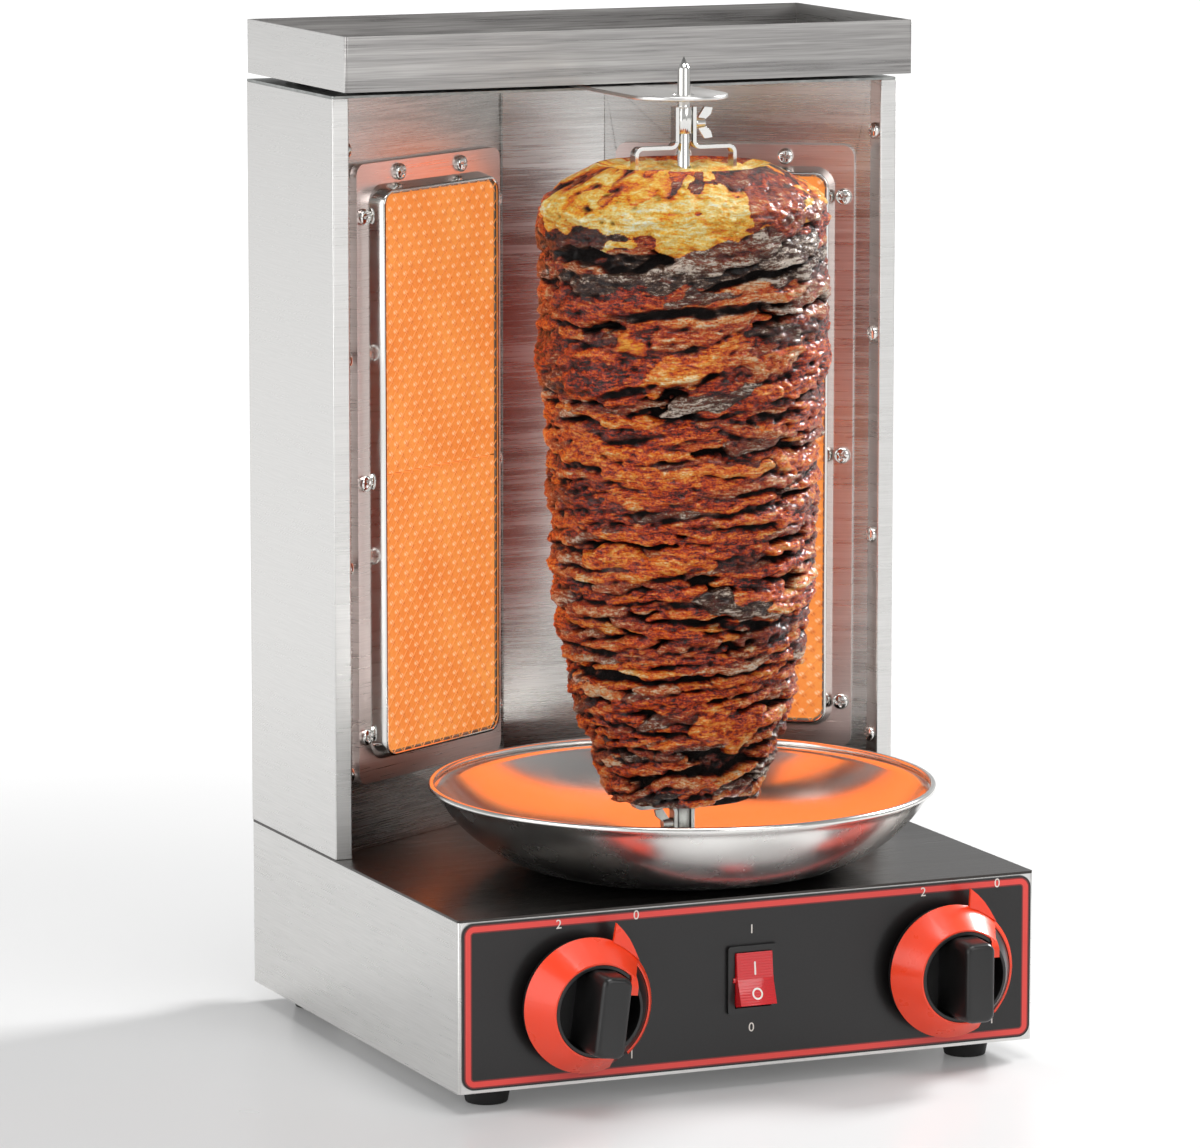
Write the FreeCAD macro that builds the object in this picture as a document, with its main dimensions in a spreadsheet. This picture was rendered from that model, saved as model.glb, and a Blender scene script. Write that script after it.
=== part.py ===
import FreeCAD, Part
import math
import os
from types import SimpleNamespace

import Sketcher
from FreeCAD import Placement, Rotation, Vector

# Tabletop gas grill with a turning upright spit, two infrared burners and a round drip pan.
# Millimetres. X runs to the viewer's right, Y to the back, Z up.
# The origin lies on the table, under the middle of the grill's whole footprint.

doc = FreeCAD.newDocument("SpitGrill")

# Driving sizes: name, value, meaning

SIZES = (
    ("body_width", 300.0, "width of base, housing and cap"),
    ("base_depth", 272.5, "front to back of the base"),
    ("base_height", 83.0, "base without its feet, deck included"),
    ("foot_height", 10.0, "height of a rubber foot"),
    ("foot_radius", 12.0, "top radius of a foot"),
    ("foot_taper", 2.0, "how much narrower a foot is below"),
    ("foot_inset", 24.0, "foot centre from the base's edges"),
    ("foot_recess", 5.0, "screw's recess in a foot"),
    ("sheet_wall", 1.2, "steel sheet of the case"),
    ("corner_round", 1.5, "bend radius of the case's corners"),
    ("shell_flange", 38.0, "inward flange under the base"),
    ("shell_lip", 8.0, "inward lip that carries the deck"),
    ("floor_inset", 14.0, "bottom plate from the base's edges"),
    ("housing_depth", 116.0, "front to back of the housing"),
    ("housing_height", 372.0, "housing above the deck"),
    ("front_flange", 8.7, "front edge of a side panel"),
    ("side_return", 11.5, "side panel turned back into the bay"),
    ("rear_flange", 12.0, "side panel's flange at the back"),
    ("centre_half", 29.7, "half width of the bay's back panel"),
    ("wing_angle", 32.2, "turn of a burner wall from the front"),
    ("wing_flange", 9.0, "flange of a burner wall behind the back panel"),
    ("cap_gap", 3.0, "shadow gap under the cap"),
    ("cap_height", 26.5, "wall of the cap tray"),
    ("cap_overhang", 17.5, "cap in front of the housing"),
    ("spacer_radius", 6.0, "washer under the cap"),
    ("spacer_inset", 20.0, "washer from the housing's edges"),
    ("spacer_front", 28.0, "front spacers behind the housing's front"),
    ("slot_height", 5.0, "width of an air slot"),
    ("slot_length", 60.0, "length of an air slot"),
    ("slot_pitch", 13.0, "from one air slot to the next"),
    ("slot_rows", 6.0, "air slots in a column of the rear panel"),
    ("base_slot_rows", 3.0, "air slots in a column of the base's back"),
    ("base_slot_column", 36.0, "air slots of the base from the middle"),
    ("floor_slot_column", 42.0, "air slots of the bottom plate from the middle"),
    ("floor_slot_start", 57.0, "first air slots of the bottom plate from its front"),
    ("floor_slot_pitch", 39.0, "from one air slot of the bottom plate to the next"),
    ("rear_slot_column", 42.0, "air slots of the rear panel from the middle"),
    ("rear_slot_drop", 104.0, "lowest air slot of the rear panel below its top"),
    ("top_slot_column", 60.0, "air slots of the top plate from the middle"),
    ("top_slot_back", 39.0, "air slots of the top plate from its back"),
    ("panel_thickness", 1.0, "black front panel"),
    ("panel_inset", 1.7, "front panel from the base's edges"),
    ("panel_round", 6.0, "corner radius of the front panel"),
    ("left_knob_inset", 61.5, "left knob from the case's left side"),
    ("right_knob_inset", 48.5, "right knob from the case's right side"),
    ("knob_height", 39.5, "knob centre above the base's bottom"),
    ("left_knob_lean", 7.0, "turn of the left knob's graphics at off"),
    ("knob_gap", 3.6, "room behind the knob for pushing it in"),
    ("skirt_radius", 31.5, "widest radius of a knob"),
    ("skirt_reach", 9.0, "skirt's front edge from the panel"),
    ("crown_radius", 22.0, "front rim of the knob's cone"),
    ("crown_reach", 23.5, "front rim from the panel"),
    ("crown_wall", 1.8, "rim around the hollow of the knob"),
    ("knob_edge", 1.0, "bevel of a knob's edges"),
    ("hollow_reach", 12.0, "floor of the knob's hollow from the panel"),
    ("grip_reach", 41.0, "front of the grip bar from the panel"),
    ("grip_width", 15.0, "grip bar at its front"),
    ("grip_root", 17.0, "grip bar at its root"),
    ("grip_length", 40.0, "length of the grip bar"),
    ("ring_wall", 1.0, "coloured ring on the knob's cone"),
    ("ring_start", 45.0, "clockwise from the top to the ring's pointer end"),
    ("ring_sweep", 252.0, "sweep of the ring's broad part"),
    ("ring_gap", 0.16, "dial ring above the knob's cone"),
    ("trace_sweep", 90.0, "how far the ring's thin closing arc runs"),
    ("ring_merge", 1.0, "degrees that the closing arc runs into the ring"),
    ("trace_width", 3.0, "thin closing arc of the ring"),
    ("pointer_reach", 41.0, "pointer's tip from the knob's axis"),
    ("pointer_angle", 13.0, "pointer's tip clockwise from the top"),
    ("belly_radius", 37.25, "pointer's belly from the knob's axis"),
    ("belly_angle", 25.0, "pointer's belly clockwise from the top"),
    ("nape_radius", 34.25, "pointer's nape from the knob's axis"),
    ("nape_angle", 35.0, "pointer's nape clockwise from the top"),
    ("pointer_foot", 0.3, "pointer's foot clear of the skirt"),
    ("pointer_rise", 1.6, "height of the pointer"),
    ("index_width", 4.0, "raised index bar of the ring"),
    ("index_length", 14.0, "length of the index bar"),
    ("stem_radius", 4.0, "valve stem"),
    ("stem_depth", 20.0, "stem inside the knob"),
    ("stem_hole", 7.0, "radius of the stem's hole in the panel"),
    ("push_travel", 3.0, "how far a knob pushes in"),
    ("valve_radius", 12.0, "body of a gas valve"),
    ("valve_length", 30.0, "body of a gas valve behind the wall"),
    ("valve_neck", 8.0, "neck of a gas valve"),
    ("plug_radius", 6.15, "turning plug of a gas valve"),
    ("plug_length", 18.0, "turning plug of a gas valve"),
    ("running_gap", 0.05, "radial clearance of a running fit"),
    ("manifold_radius", 7.0, "pipe that feeds both valves"),
    ("manifold_drop", 24.0, "manifold below the valves"),
    ("manifold_depth", 18.0, "manifold behind the front panel"),
    ("manifold_bend", 14.4, "bend radius of the manifold"),
    ("stub_sink", 0.5, "how deep a stub is brazed into the manifold"),
    ("pipe_radius", 4.0, "gas pipe to a burner"),
    ("pipe_wall", 1.0, "wall of the gas pipes"),
    ("pipe_bend", 12.0, "bend radius of the gas pipes"),
    ("nozzle_radius", 6.0, "gas nozzle below a burner"),
    ("nozzle_height", 8.0, "gas nozzle below a burner"),
    ("inlet_inset", 38.0, "gas inlet from the case's left side"),
    ("inlet_height", 36.0, "gas inlet above the base's bottom"),
    ("inlet_radius", 10.45, "male pipe thread, half inch size"),
    ("inlet_reach", 15.5, "gas inlet behind the base"),
    ("inlet_bore", 6.0, "bore of the gas inlet"),
    ("thread_edge", 1.0, "bevel of the inlet's thread"),
    ("inlet_hex", 24.0, "across the inlet's flats"),
    ("hex_thickness", 2.5, "hexagon against the rear wall"),
    ("gland_inset", 45.0, "cable gland from the case's right side"),
    ("gland_radius", 8.0, "cable gland's thread"),
    ("gland_reach", 14.0, "cable gland behind the base"),
    ("gland_bore", 3.6, "bore for the mains lead"),
    ("gland_edge", 3.0, "bevel of the gland's cap"),
    ("gland_mouth", 5.6, "gland's radius at its mouth"),
    ("gland_hex", 20.0, "across the gland's flats"),
    ("switch_half_width", 13.0, "half width of the switch bezel"),
    ("switch_half_height", 16.5, "half height of the switch bezel"),
    ("switch_height", 43.0, "switch centre above the base's bottom"),
    ("bezel_reach", 2.0, "switch bezel in front of the panel"),
    ("switch_depth", 20.0, "switch body behind the panel"),
    ("switch_shoulder", 1.0, "bezel wider than the case behind it"),
    ("pivot_reach", 1.0, "rocker's pin in front of the panel"),
    ("rocker_half_width", 9.3, "half width of the rocker"),
    ("rocker_half_height", 12.6, "half height of the rocker"),
    ("rocker_reach", 9.0, "rocker's ends in front of its pivot"),
    ("rocker_dish", 1.5, "hollow of the rocker's face"),
    ("rocker_tilt", 13.0, "tilt of the rocker to each side"),
    ("rocker_pin", 1.5, "radius of the rocker's pivot"),
    ("rocker_play", 0.3, "gap beside the rocker"),
    ("burner_offset", 1.56, "burner centre past the middle of its wall"),
    ("burner_drop", 0.5, "burner centre below the middle of the housing"),
    ("plate_margin", 5.94, "cover plate from the ends of its wall"),
    ("plate_end_margin", 34.0, "cover plate from deck and top plate"),
    ("plate_rise", 4.0, "cover plate in front of the burner wall"),
    ("plate_round", 6.0, "corner radius of the cover plate"),
    ("frame_inset", 9.5, "burner frame from the cover plate's sides"),
    ("frame_end_inset", 10.7, "burner frame from the cover plate's ends"),
    ("frame_taper", 2.4, "how far the frame draws in to its front"),
    ("frame_height", 8.0, "frame in front of the cover plate"),
    ("frame_wall", 1.0, "sheet of the burner frame"),
    ("frame_lip", 1.3, "lip around the burner's face"),
    ("frame_round", 10.0, "corner radius of the burner frame"),
    ("net_thickness", 0.8, "wire net over the ceramic"),
    ("net_columns", 5.0, "gaps across the net"),
    ("net_rows", 15.0, "gaps up the net"),
    ("net_bar", 1.6, "bar between two gaps of the net"),
    ("tile_inset", 4.7, "ceramic tile from the burner frame's foot"),
    ("tile_end_inset", 4.8, "ceramic tiles from the burner frame's ends"),
    ("tile_thickness", 12.0, "thickness of a ceramic tile"),
    ("tile_joint", 1.0, "joint between two tiles"),
    ("tile_play", 0.3, "room around the tiles in their box"),
    ("box_depth", 27.0, "mixing box behind the burner wall"),
    ("box_flange", 11.2, "side flange of the burner box"),
    ("box_end_flange", 12.0, "flange of the mixing box above and below it"),
    ("box_ledge", 4.0, "ledge behind the tiles"),
    ("ledge_depth", 2.0, "ledge behind the burner wall"),
    ("throat_radius", 10.0, "mixing tube below the box"),
    ("throat_length", 30.0, "mixing tube below the box"),
    ("window_play", 0.5, "room around a mixing box in its wall"),
    ("screw_shank", 2.0, "radius of the case screws"),
    ("screw_head", 4.1, "head radius of the case screws"),
    ("screw_rise", 2.9, "head height of the case screws"),
    ("screw_crown", 2.46, "flat top of a pan head"),
    ("screw_edge", 1.16, "upright edge of a pan head"),
    ("screw_length", 7.0, "length of the case screws"),
    ("screw_play", 0.15, "radial room of a screw in its hole"),
    ("burner_screw_inset", 5.0, "burner screws from the plate's sides"),
    ("burner_screw_high", 25.5, "upper burner screws from the plate's end"),
    ("burner_screw_mid", -3.5, "middle side screws above the burner's middle"),
    ("burner_screw_low", 23.5, "lower burner screws from the plate's end"),
    ("burner_screw_top", 5.7, "top burner screws from the plate's end"),
    ("burner_screw_half", 25.6, "top screws from the burner's middle"),
    ("wall_screw_low", 41.0, "lowest wall screw above the deck"),
    ("wall_screw_high", 26.8, "highest wall screw below the top plate"),
    ("wall_screw_back", 5.5, "wall screws in front of the wing"),
    ("rear_screw_inset", 6.0, "rear screws from the side"),
    ("rear_screw_low", 14.0, "rear screws from the panel's ends"),
    ("spit_from_rear", 192.5, "spit axis in front of the rear face"),
    ("spit_radius", 3.0, "spit rod"),
    ("spit_point", 6.2, "length of the spit's point"),
    ("spit_rise", 20.3, "spit tip above the housing"),
    ("tang_depth", 3.2, "spit's end in the drive cup"),
    ("tang_half", 2.0, "half thickness of the spit's flat end"),
    ("tang_play", 0.08, "room around the spit's flat end"),
    ("tang_spare", 1.0, "depth of the cup's slot below the tongue"),
    ("bracket_half", 24.0, "half width of the top bracket"),
    ("bracket_thickness", 2.0, "plate of the top bracket"),
    ("bracket_nose", 7.0, "centre of the bracket's round end behind the spit"),
    ("bracket_hole", 5.0, "radius of the spit's hole in the bracket"),
    ("bracket_tail", 46.0, "bracket on top of the housing"),
    ("bracket_screw_back", 27.6, "bracket screws behind the housing's front"),
    ("socket_radius", 8.0, "drive cup"),
    ("socket_top", 12.0, "drive cup above the deck"),
    ("socket_drop", 8.0, "drive cup below the deck's top"),
    ("socket_edge", 1.0, "bevel of the drive cup"),
    ("shaft_radius", 3.5, "shaft of the gearmotor"),
    ("motor_radius", 25.0, "gearmotor"),
    ("motor_height", 22.0, "gearmotor"),
    ("motor_drop", 13.0, "gearmotor below the deck's top"),
    ("motor_boss", 8.0, "nose of the gearmotor"),
    ("boss_gap", 1.0, "motor's neck below the drive cup"),
    ("mount_half", 36.0, "half length of the motor bracket"),
    ("mount_width", 34.0, "width of the motor bracket"),
    ("mount_foot", 12.0, "foot of the motor bracket"),
    ("bush_flange", 3.0, "flange of the deck bush"),
    ("bush_wall", 3.0, "wall of the deck bush"),
    ("pan_radius", 123.0, "outer radius of the pan's rim"),
    ("pan_height", 42.0, "pan from the deck to its rim"),
    ("pan_flat", 54.0, "radius of the pan's flat bottom"),
    ("pan_wall", 0.9, "sheet of the pan"),
    ("pan_bead", 1.6, "rolled bead of the rim"),
    ("chimney_radius", 23.0, "opening in the middle of the pan"),
    ("chimney_height", 8.5, "collar around that opening"),
    ("meat_foot", 35.0, "meat's lower end above the deck"),
    ("meat_drop", 31.0, "meat top below the housing's top"),
    ("meat_foot_radius", 37.0, "meat at its lower end"),
    ("meat_low_radius", 54.0, "meat above its lower end"),
    ("meat_waist_radius", 63.5, "meat at half height"),
    ("meat_chest_radius", 67.8, "meat above half height"),
    ("meat_shoulder_radius", 72.5, "meat at its widest"),
    ("meat_brow_radius", 68.5, "meat where it rounds over"),
    ("meat_crown_radius", 50.0, "meat at its upper end"),
    ("meat_layers", 13.0, "heaped layers of slices"),
    ("meat_groove", 1.6, "groove between two layers"),
    ("meat_play", 0.35, "meat clear of the steel in it"),
    ("slot_spare", 1.0, "spare depth of a prong's slot in the meat"),
    ("collar_radius", 4.0, "collar of a fork"),
    ("weld_depth", 0.4, "strips let into the collar"),
    ("collar_height", 12.7, "collar of a fork"),
    ("upper_drop", 16.5, "upper fork's tube below the housing's top"),
    ("lower_collar", 17.8, "lower edge of the lower collar above the deck"),
    ("prong_width", 6.0, "strip of a fork, front to back"),
    ("prong_thickness", 1.8, "strip of a fork"),
    ("prong_reach", 26.5, "prongs from the spit"),
    ("prong_length", 52.0, "prongs inside the meat"),
    ("prong_bend", 3.2, "bend radius of a fork's strips"),
    ("fork_gap", 7.0, "arms of a fork clear of the meat"),
    ("upper_clamp_rise", 4.76, "upper wing screw above its collar's lower edge"),
    ("lower_clamp_rise", 3.2, "lower wing screw above its collar's lower edge"),
    ("fork_travel", 2.8, "how far a fork slides towards the meat"),
    ("fork_clear", 1.2, "lower fork's arms under the meat at the end of their travel"),
    ("clamp_shank", 1.8, "thread of a wing screw"),
    ("clamp_hub", 2.9, "hub of a wing screw"),
    ("clamp_wing", 7.6, "wing tips from a wing screw's axis"),
    ("clamp_length", 4.9, "wing screw's hub"),
    ("clamp_crown", 2.3, "wing screw's hub at its end"),
    ("wing_base", 1.7, "wings above the hub's foot"),
    ("wing_tip", 7.3, "wing tips above the wings' base"),
    ("wing_heel", 6.4, "inner end of a wing above its base"),
    ("wing_blunt", 0.5, "wing's slanted end"),
)

sheet = doc.addObject("Spreadsheet::Sheet", "Sizes")
for row_number, (alias, value, meaning) in enumerate(SIZES, 1):
    sheet.set(f"A{row_number}", alias)
    sheet.set(f"B{row_number}", repr(value))
    sheet.set(f"C{row_number}", meaning)
    sheet.setAlias(f"B{row_number}", alias)
doc.recompute()


class Size:
    """A length or angle that knows its value and the sheet formula behind it."""

    def __init__(self, value, formula):
        self.value = float(value)
        self.formula = formula

    def __add__(self, other):
        other = as_size(other)
        return Size(self.value + other.value, f"({self.formula} + {other.formula})")

    def __sub__(self, other):
        other = as_size(other)
        return Size(self.value - other.value, f"({self.formula} - {other.formula})")

    def __mul__(self, other):
        other = as_size(other)
        return Size(self.value * other.value, f"({self.formula} * {other.formula})")

    def __truediv__(self, other):
        other = as_size(other)
        return Size(self.value / other.value, f"({self.formula} / {other.formula})")

    def __neg__(self):
        return self * -1

    def __rsub__(self, other):
        return as_size(other) - self

    __radd__ = __add__
    __rmul__ = __mul__


def as_size(number):
    """Give a plain number the form of a size."""
    if isinstance(number, Size):
        return number
    return Size(number, f"({float(number)!r})")


def sine(angle):
    return Size(math.sin(math.radians(angle.value)), f"sin({angle.formula} * 1 deg)")


def cosine(angle):
    return Size(math.cos(math.radians(angle.value)), f"cos({angle.formula} * 1 deg)")


S = SimpleNamespace(
    **{alias: Size(sheet.get(alias), f"Sizes.{alias}") for alias, _, _ in SIZES}
)

# Places that follow from the driving sizes

LEFT = -1
RIGHT = 1
SECTOR_STEP = 30
SIDES = (("left", LEFT), ("right", RIGHT))

wall = S.sheet_wall
half_width = S.body_width / 2
rear_y = (S.spit_from_rear + S.pan_radius - S.inlet_reach) / 2
front_y = rear_y - S.base_depth
housing_y = rear_y - S.housing_depth
spit_y = rear_y - S.spit_from_rear
deck_z = S.foot_height + S.base_height
housing_z = deck_z + S.housing_height
cap_z = housing_z + S.cap_gap
panel_y = front_y - S.panel_thickness
knob_z = S.foot_height + S.knob_height
switch_z = S.foot_height + S.switch_height
wing_x = half_width - S.front_flange
wing_y = housing_y + S.side_return
wing_run = wing_x - S.centre_half
wing_slope = sine(S.wing_angle) / cosine(S.wing_angle)
wing_rise = wing_run * wing_slope
wing_length = wing_run / cosine(S.wing_angle)
centre_y = wing_y + wing_rise
hole_radius = S.screw_shank + S.screw_play
wall_screw_y = wing_y - S.wall_screw_back
knob_offsets = {"left": S.left_knob_inset - half_width, "right": half_width - S.right_knob_inset}
inlet_x = S.inlet_inset - half_width
gland_x = half_width - S.gland_inset
knob_leans = {"left": S.left_knob_lean, "right": as_size(0)}
mouth_depth = S.box_depth / 2
burner_shift = wing_length / 2 + S.burner_offset
burner_mid = S.housing_height / 2 - S.burner_drop
plate_half_width = wing_length / 2 - S.plate_margin
plate_half_height = S.housing_height / 2 - S.plate_end_margin
frame_half_width = plate_half_width - S.frame_inset
frame_half_height = plate_half_height - S.frame_end_inset
tile_half_width = frame_half_width - S.tile_inset
tile_end = frame_half_height - S.tile_end_inset
tile_length = tile_end - S.tile_joint / 2
box_half_width = tile_half_width + S.tile_play + wall
box_half_height = tile_end + S.tile_play + wall
box_round = S.frame_round - (frame_half_width - box_half_width)
wall_screw_pitch = (S.housing_height - S.wall_screw_low - S.wall_screw_high) / 3
spit_top = S.housing_height + S.spit_rise
meat_top = S.housing_height - S.meat_drop
lower_arm = S.meat_foot - S.fork_travel - S.prong_thickness - S.fork_clear
upper_collar = S.housing_height - S.upper_drop
bush_radius = S.socket_radius + S.running_gap + S.bush_wall
rocker_face = S.rocker_reach - S.rocker_half_height * sine(S.rocker_tilt) - S.pivot_reach
rocker_swing = S.rocker_half_height + S.rocker_play * 2

made = []


# Bodies, sketches and features bound to the sheet


def bind(item, path, size):
    """Tie one property to the sheet."""
    item.setExpression(path, as_size(size).formula)


def put(item, x=0, y=0, z=0, axis=(0, 0, 1), turn=None, spin=0):
    """Place a piece by sizes of the sheet, turned about one axis and spun about its own."""
    angle = as_size(turn or 0)
    spot = [as_size(value) for value in (x, y, z)]
    rotation = Rotation(Vector(*axis), angle.value) * Rotation(Vector(0, 0, 1), spin)
    item.Placement = Placement(Vector(*(value.value for value in spot)), rotation)
    for letter, value in zip("xyz", spot):
        bind(item, f"Placement.Base.{letter}", value)


def new_body(label, **place):
    """Start a piece that is built up from features."""
    body = doc.addObject("PartDesign::Body", label)
    body.Label = label
    made.append(body)
    put(body, **place)
    return body


def origin_part(body, role):
    """Find one of the body's own planes or axes."""
    return next(part for part in body.Origin.OriginFeatures if part.Role == role)


def sketch_on(body, role, offset=0):
    """Open a sketch parallel to one of the body's planes."""
    sketch = body.newObject("Sketcher::SketchObject", body.Label + "_sketch")
    sketch.AttachmentSupport = [(origin_part(body, role), "")]
    sketch.MapMode = "FlatFace"
    bind(sketch, "AttachmentOffset.Base.z", offset)
    return sketch


def fix(sketch, kind, value, *ends):
    """Set one measure of a sketch from the sheet."""
    value = as_size(value)
    index = sketch.addConstraint(Sketcher.Constraint(kind, *ends, value.value))
    sketch.renameConstraint(index, f"size_{index}")
    bind(sketch, f"Constraints.size_{index}", value)


def pin_point(sketch, geometry, end, x, y):
    """Hold one point of a sketch at sizes of the sheet."""
    fix(sketch, "DistanceX", x, -1, 1, geometry, end)
    fix(sketch, "DistanceY", y, -1, 1, geometry, end)


def draw_outline(sketch, points):
    """Draw a closed outline of straight lines through the given points."""
    points = [(as_size(x), as_size(y)) for x, y in points]
    first = sketch.GeometryCount
    count = len(points)
    spots = [Vector(x.value, y.value, 0) for x, y in points]
    for index, spot in enumerate(spots):
        sketch.addGeometry(Part.LineSegment(spot, spots[(index + 1) % count]))
    for index in range(count):
        follower = first + (index + 1) % count
        sketch.addConstraint(Sketcher.Constraint("Coincident", first + index, 2, follower, 1))
    for index, (x, y) in enumerate(points):
        pin_point(sketch, first + index, 1, x, y)


def draw_rectangle(sketch, x0, x1, y0, y1):
    draw_outline(sketch, ((x0, y0), (x1, y0), (x1, y1), (x0, y1)))


def draw_circle(sketch, x, y, radius):
    x, y, radius = as_size(x), as_size(y), as_size(radius)
    circle = Part.Circle(Vector(x.value, y.value, 0), Vector(0, 0, 1), radius.value)
    index = sketch.addGeometry(circle)
    pin_point(sketch, index, 3, x, y)
    fix(sketch, "Radius", radius, index)


def draw_hexagon(sketch, x, y, across):
    """Draw a hexagon with two flats upright."""
    reach = as_size(across) / (2 * math.cos(math.pi / 6))
    points = []
    for corner in range(6):
        angle = math.radians(30 + 60 * corner)
        points.append((x + reach * math.cos(angle), y + reach * math.sin(angle)))
    draw_outline(sketch, points)


def draw_rounded(sketch, x0, x1, y0, y1, radius):
    """Draw a rectangle with four equal round corners."""
    x0, x1, y0, y1, radius = (as_size(value) for value in (x0, x1, y0, y1, radius))
    first = sketch.GeometryCount
    centres = (
        (x1 - radius, y0 + radius),
        (x1 - radius, y1 - radius),
        (x0 + radius, y1 - radius),
        (x0 + radius, y0 + radius),
    )
    for corner, (cx, cy) in enumerate(centres):
        start = math.radians(90 * corner - 90)
        circle = Part.Circle(Vector(cx.value, cy.value, 0), Vector(0, 0, 1), radius.value)
        sketch.addGeometry(Part.ArcOfCircle(circle, start, start + math.pi / 2))
    for corner in range(4):
        here = sketch.Geometry[first + corner].EndPoint
        there = sketch.Geometry[first + (corner + 1) % 4].StartPoint
        sketch.addGeometry(Part.LineSegment(here, there))
    for corner in range(4):
        line = first + 4 + corner
        follower = first + (corner + 1) % 4
        sketch.addConstraint(Sketcher.Constraint("Tangent", first + corner, 2, line, 1))
        sketch.addConstraint(Sketcher.Constraint("Tangent", line, 2, follower, 1))
    for corner, (cx, cy) in enumerate(centres):
        pin_point(sketch, first + corner, 3, cx, cy)
        fix(sketch, "Radius", radius, first + corner)


def pad(body, sketch, length):
    """Raise a sketch along its own normal."""
    feature = body.newObject("PartDesign::Pad", body.Label + "_pad")
    feature.Profile = sketch
    bind(feature, "Length", length)
    sketch.Visibility = False
    return feature


def cut(body, sketch, length):
    """Cut a sketch out, half the length to each side of its plane."""
    doc.recompute()
    before = body.Shape.Volume
    feature = body.newObject("PartDesign::Pocket", body.Label + "_cut")
    feature.Profile = sketch
    feature.SideType = "Symmetric"
    bind(feature, "Length", length)
    doc.recompute()
    if not body.Shape.Volume < before:
        raise RuntimeError(f"{body.Label}: a cut takes nothing away")
    return feature


def pierce(body, sketch, sheet_thickness):
    """Cut right through a sheet that lies at the sketch's plane."""
    return cut(body, sketch, as_size(sheet_thickness) * 4)


def repeat(body, feature, role, spacing, count):
    """Repeat a feature along one of the body's axes."""
    pattern = body.newObject("PartDesign::LinearPattern", body.Label + "_row")
    pattern.Originals = [feature]
    pattern.Direction = (origin_part(body, role), [""])
    bind(pattern, "Length", as_size(spacing) * (as_size(count) - 1))
    bind(pattern, "Occurrences", count)
    body.Tip = pattern
    return pattern


def revolve(body, role, points, axis):
    """Turn an outline about the sketch's own upright or level axis."""
    sketch = sketch_on(body, role)
    draw_outline(sketch, points)
    feature = body.newObject("PartDesign::Revolution", body.Label + "_turned")
    feature.Profile = sketch
    feature.ReferenceAxis = (sketch, [axis])
    feature.Angle = 360
    return feature


def loft(body, lower, upper, kind="Additive"):
    """Join two sketches of the same make."""
    feature = body.newObject(f"PartDesign::{kind}Loft", body.Label + "_loft")
    feature.Profile = lower
    feature.Sections = [upper]
    feature.Ruled = True
    return feature


def round_edges(body, feature, radius, chosen):
    """Round those edges of a feature that the test picks."""
    doc.recompute()
    edges = feature.Shape.Edges
    names = [f"Edge{index}" for index, edge in enumerate(edges, 1) if chosen(edge)]
    rounding = body.newObject("PartDesign::Fillet", body.Label + "_round")
    rounding.Base = (feature, names)
    bind(rounding, "Radius", radius)
    return rounding


def upright_at(edge, spots):
    """Tell whether an edge stands upright at one of the given places."""
    ends = [vertex.Point for vertex in edge.Vertexes]
    if len(ends) < 2 or (ends[1] - ends[0]).cross(Vector(0, 0, 1)).Length > 1e-6:
        return False
    return any(abs(ends[0].x - x) < 1e-3 and abs(ends[0].y - y) < 1e-3 for x, y in spots)


def add_shape(label, shape, **place):
    """Keep a shape that is made directly from the sheet's values."""
    piece = doc.addObject("Part::Feature", label)
    piece.Label = label
    piece.Shape = shape
    put(piece, **place)
    made.append(piece)
    return piece


def turned_solid(points):
    """Turn an outline of radii and heights about the upright axis."""
    path = [Vector(as_size(r).value, 0, as_size(z).value) for r, z in points]
    face = Part.Face(Part.makePolygon(path + path[:1]))
    return face.revolve(Vector(0, 0, 0), Vector(0, 0, 1), 360)


def copies(shape, places):
    """Set the same solid at several places."""
    solids = []
    for place in places:
        solid = shape.copy()
        solid.Placement = place
        solids.append(solid)
    return Part.makeCompound(solids)


def bent_path(points, radius):
    """Join straight runs by tangent arcs of one radius."""
    edges = []
    start = points[0]
    for before, corner, after in zip(points, points[1:], points[2:]):
        back = (before - corner).normalize()
        ahead = (after - corner).normalize()
        half = back.getAngle(ahead) / 2
        trim = radius / math.tan(half)
        middle = (back + ahead).normalize()
        centre = corner + middle * (radius / math.sin(half))
        entry = corner + back * trim
        leave = corner + ahead * trim
        edges.append(Part.LineSegment(start, entry).toShape())
        edges.append(Part.Arc(entry, centre - middle * radius, leave).toShape())
        start = leave
    edges.append(Part.LineSegment(start, points[-1]).toShape())
    return Part.Wire(edges)


def swept(path, profile):
    """Carry a closed profile along a path."""
    return path.makePipeShell([profile], True, False)


def ring_wire(centre, direction, radius):
    return Part.Wire(Part.Circle(centre, direction, radius).toShape())


def tube_along(points, bend, radius, bore):
    """A round tube along a bent path."""
    path = bent_path(points, bend)
    direction = (points[1] - points[0]).normalize()
    outside = swept(path, ring_wire(points[0], direction, radius))
    inside = swept(path, ring_wire(points[0], direction, bore))
    return outside.cut(inside)


def pan_head_screw():
    """A screw with a rounded head: its seat lies at zero and the head points up."""
    head = S.screw_head
    rise = S.screw_rise
    shank = S.screw_shank
    outline = ((0, rise), (S.screw_crown, rise), (head, S.screw_edge), (head, 0), (shank, 0))
    outline += ((shank, -S.screw_length), (0, -S.screw_length))
    return turned_solid(outline)


def screw_places(spots, direction):
    """Placements of screws whose heads point in one direction."""
    turn = Rotation(Vector(0, 0, 1), direction)
    return [Placement(spot, turn) for spot in spots]


# Base


def foot_spots():
    """Centres of the four feet."""
    inset = S.foot_inset
    return [(side * (half_width - inset), y) for side in (LEFT, RIGHT)
            for y in (front_y + inset, rear_y - inset)]


def inlet_z():
    return S.foot_height + S.inlet_height


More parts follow.
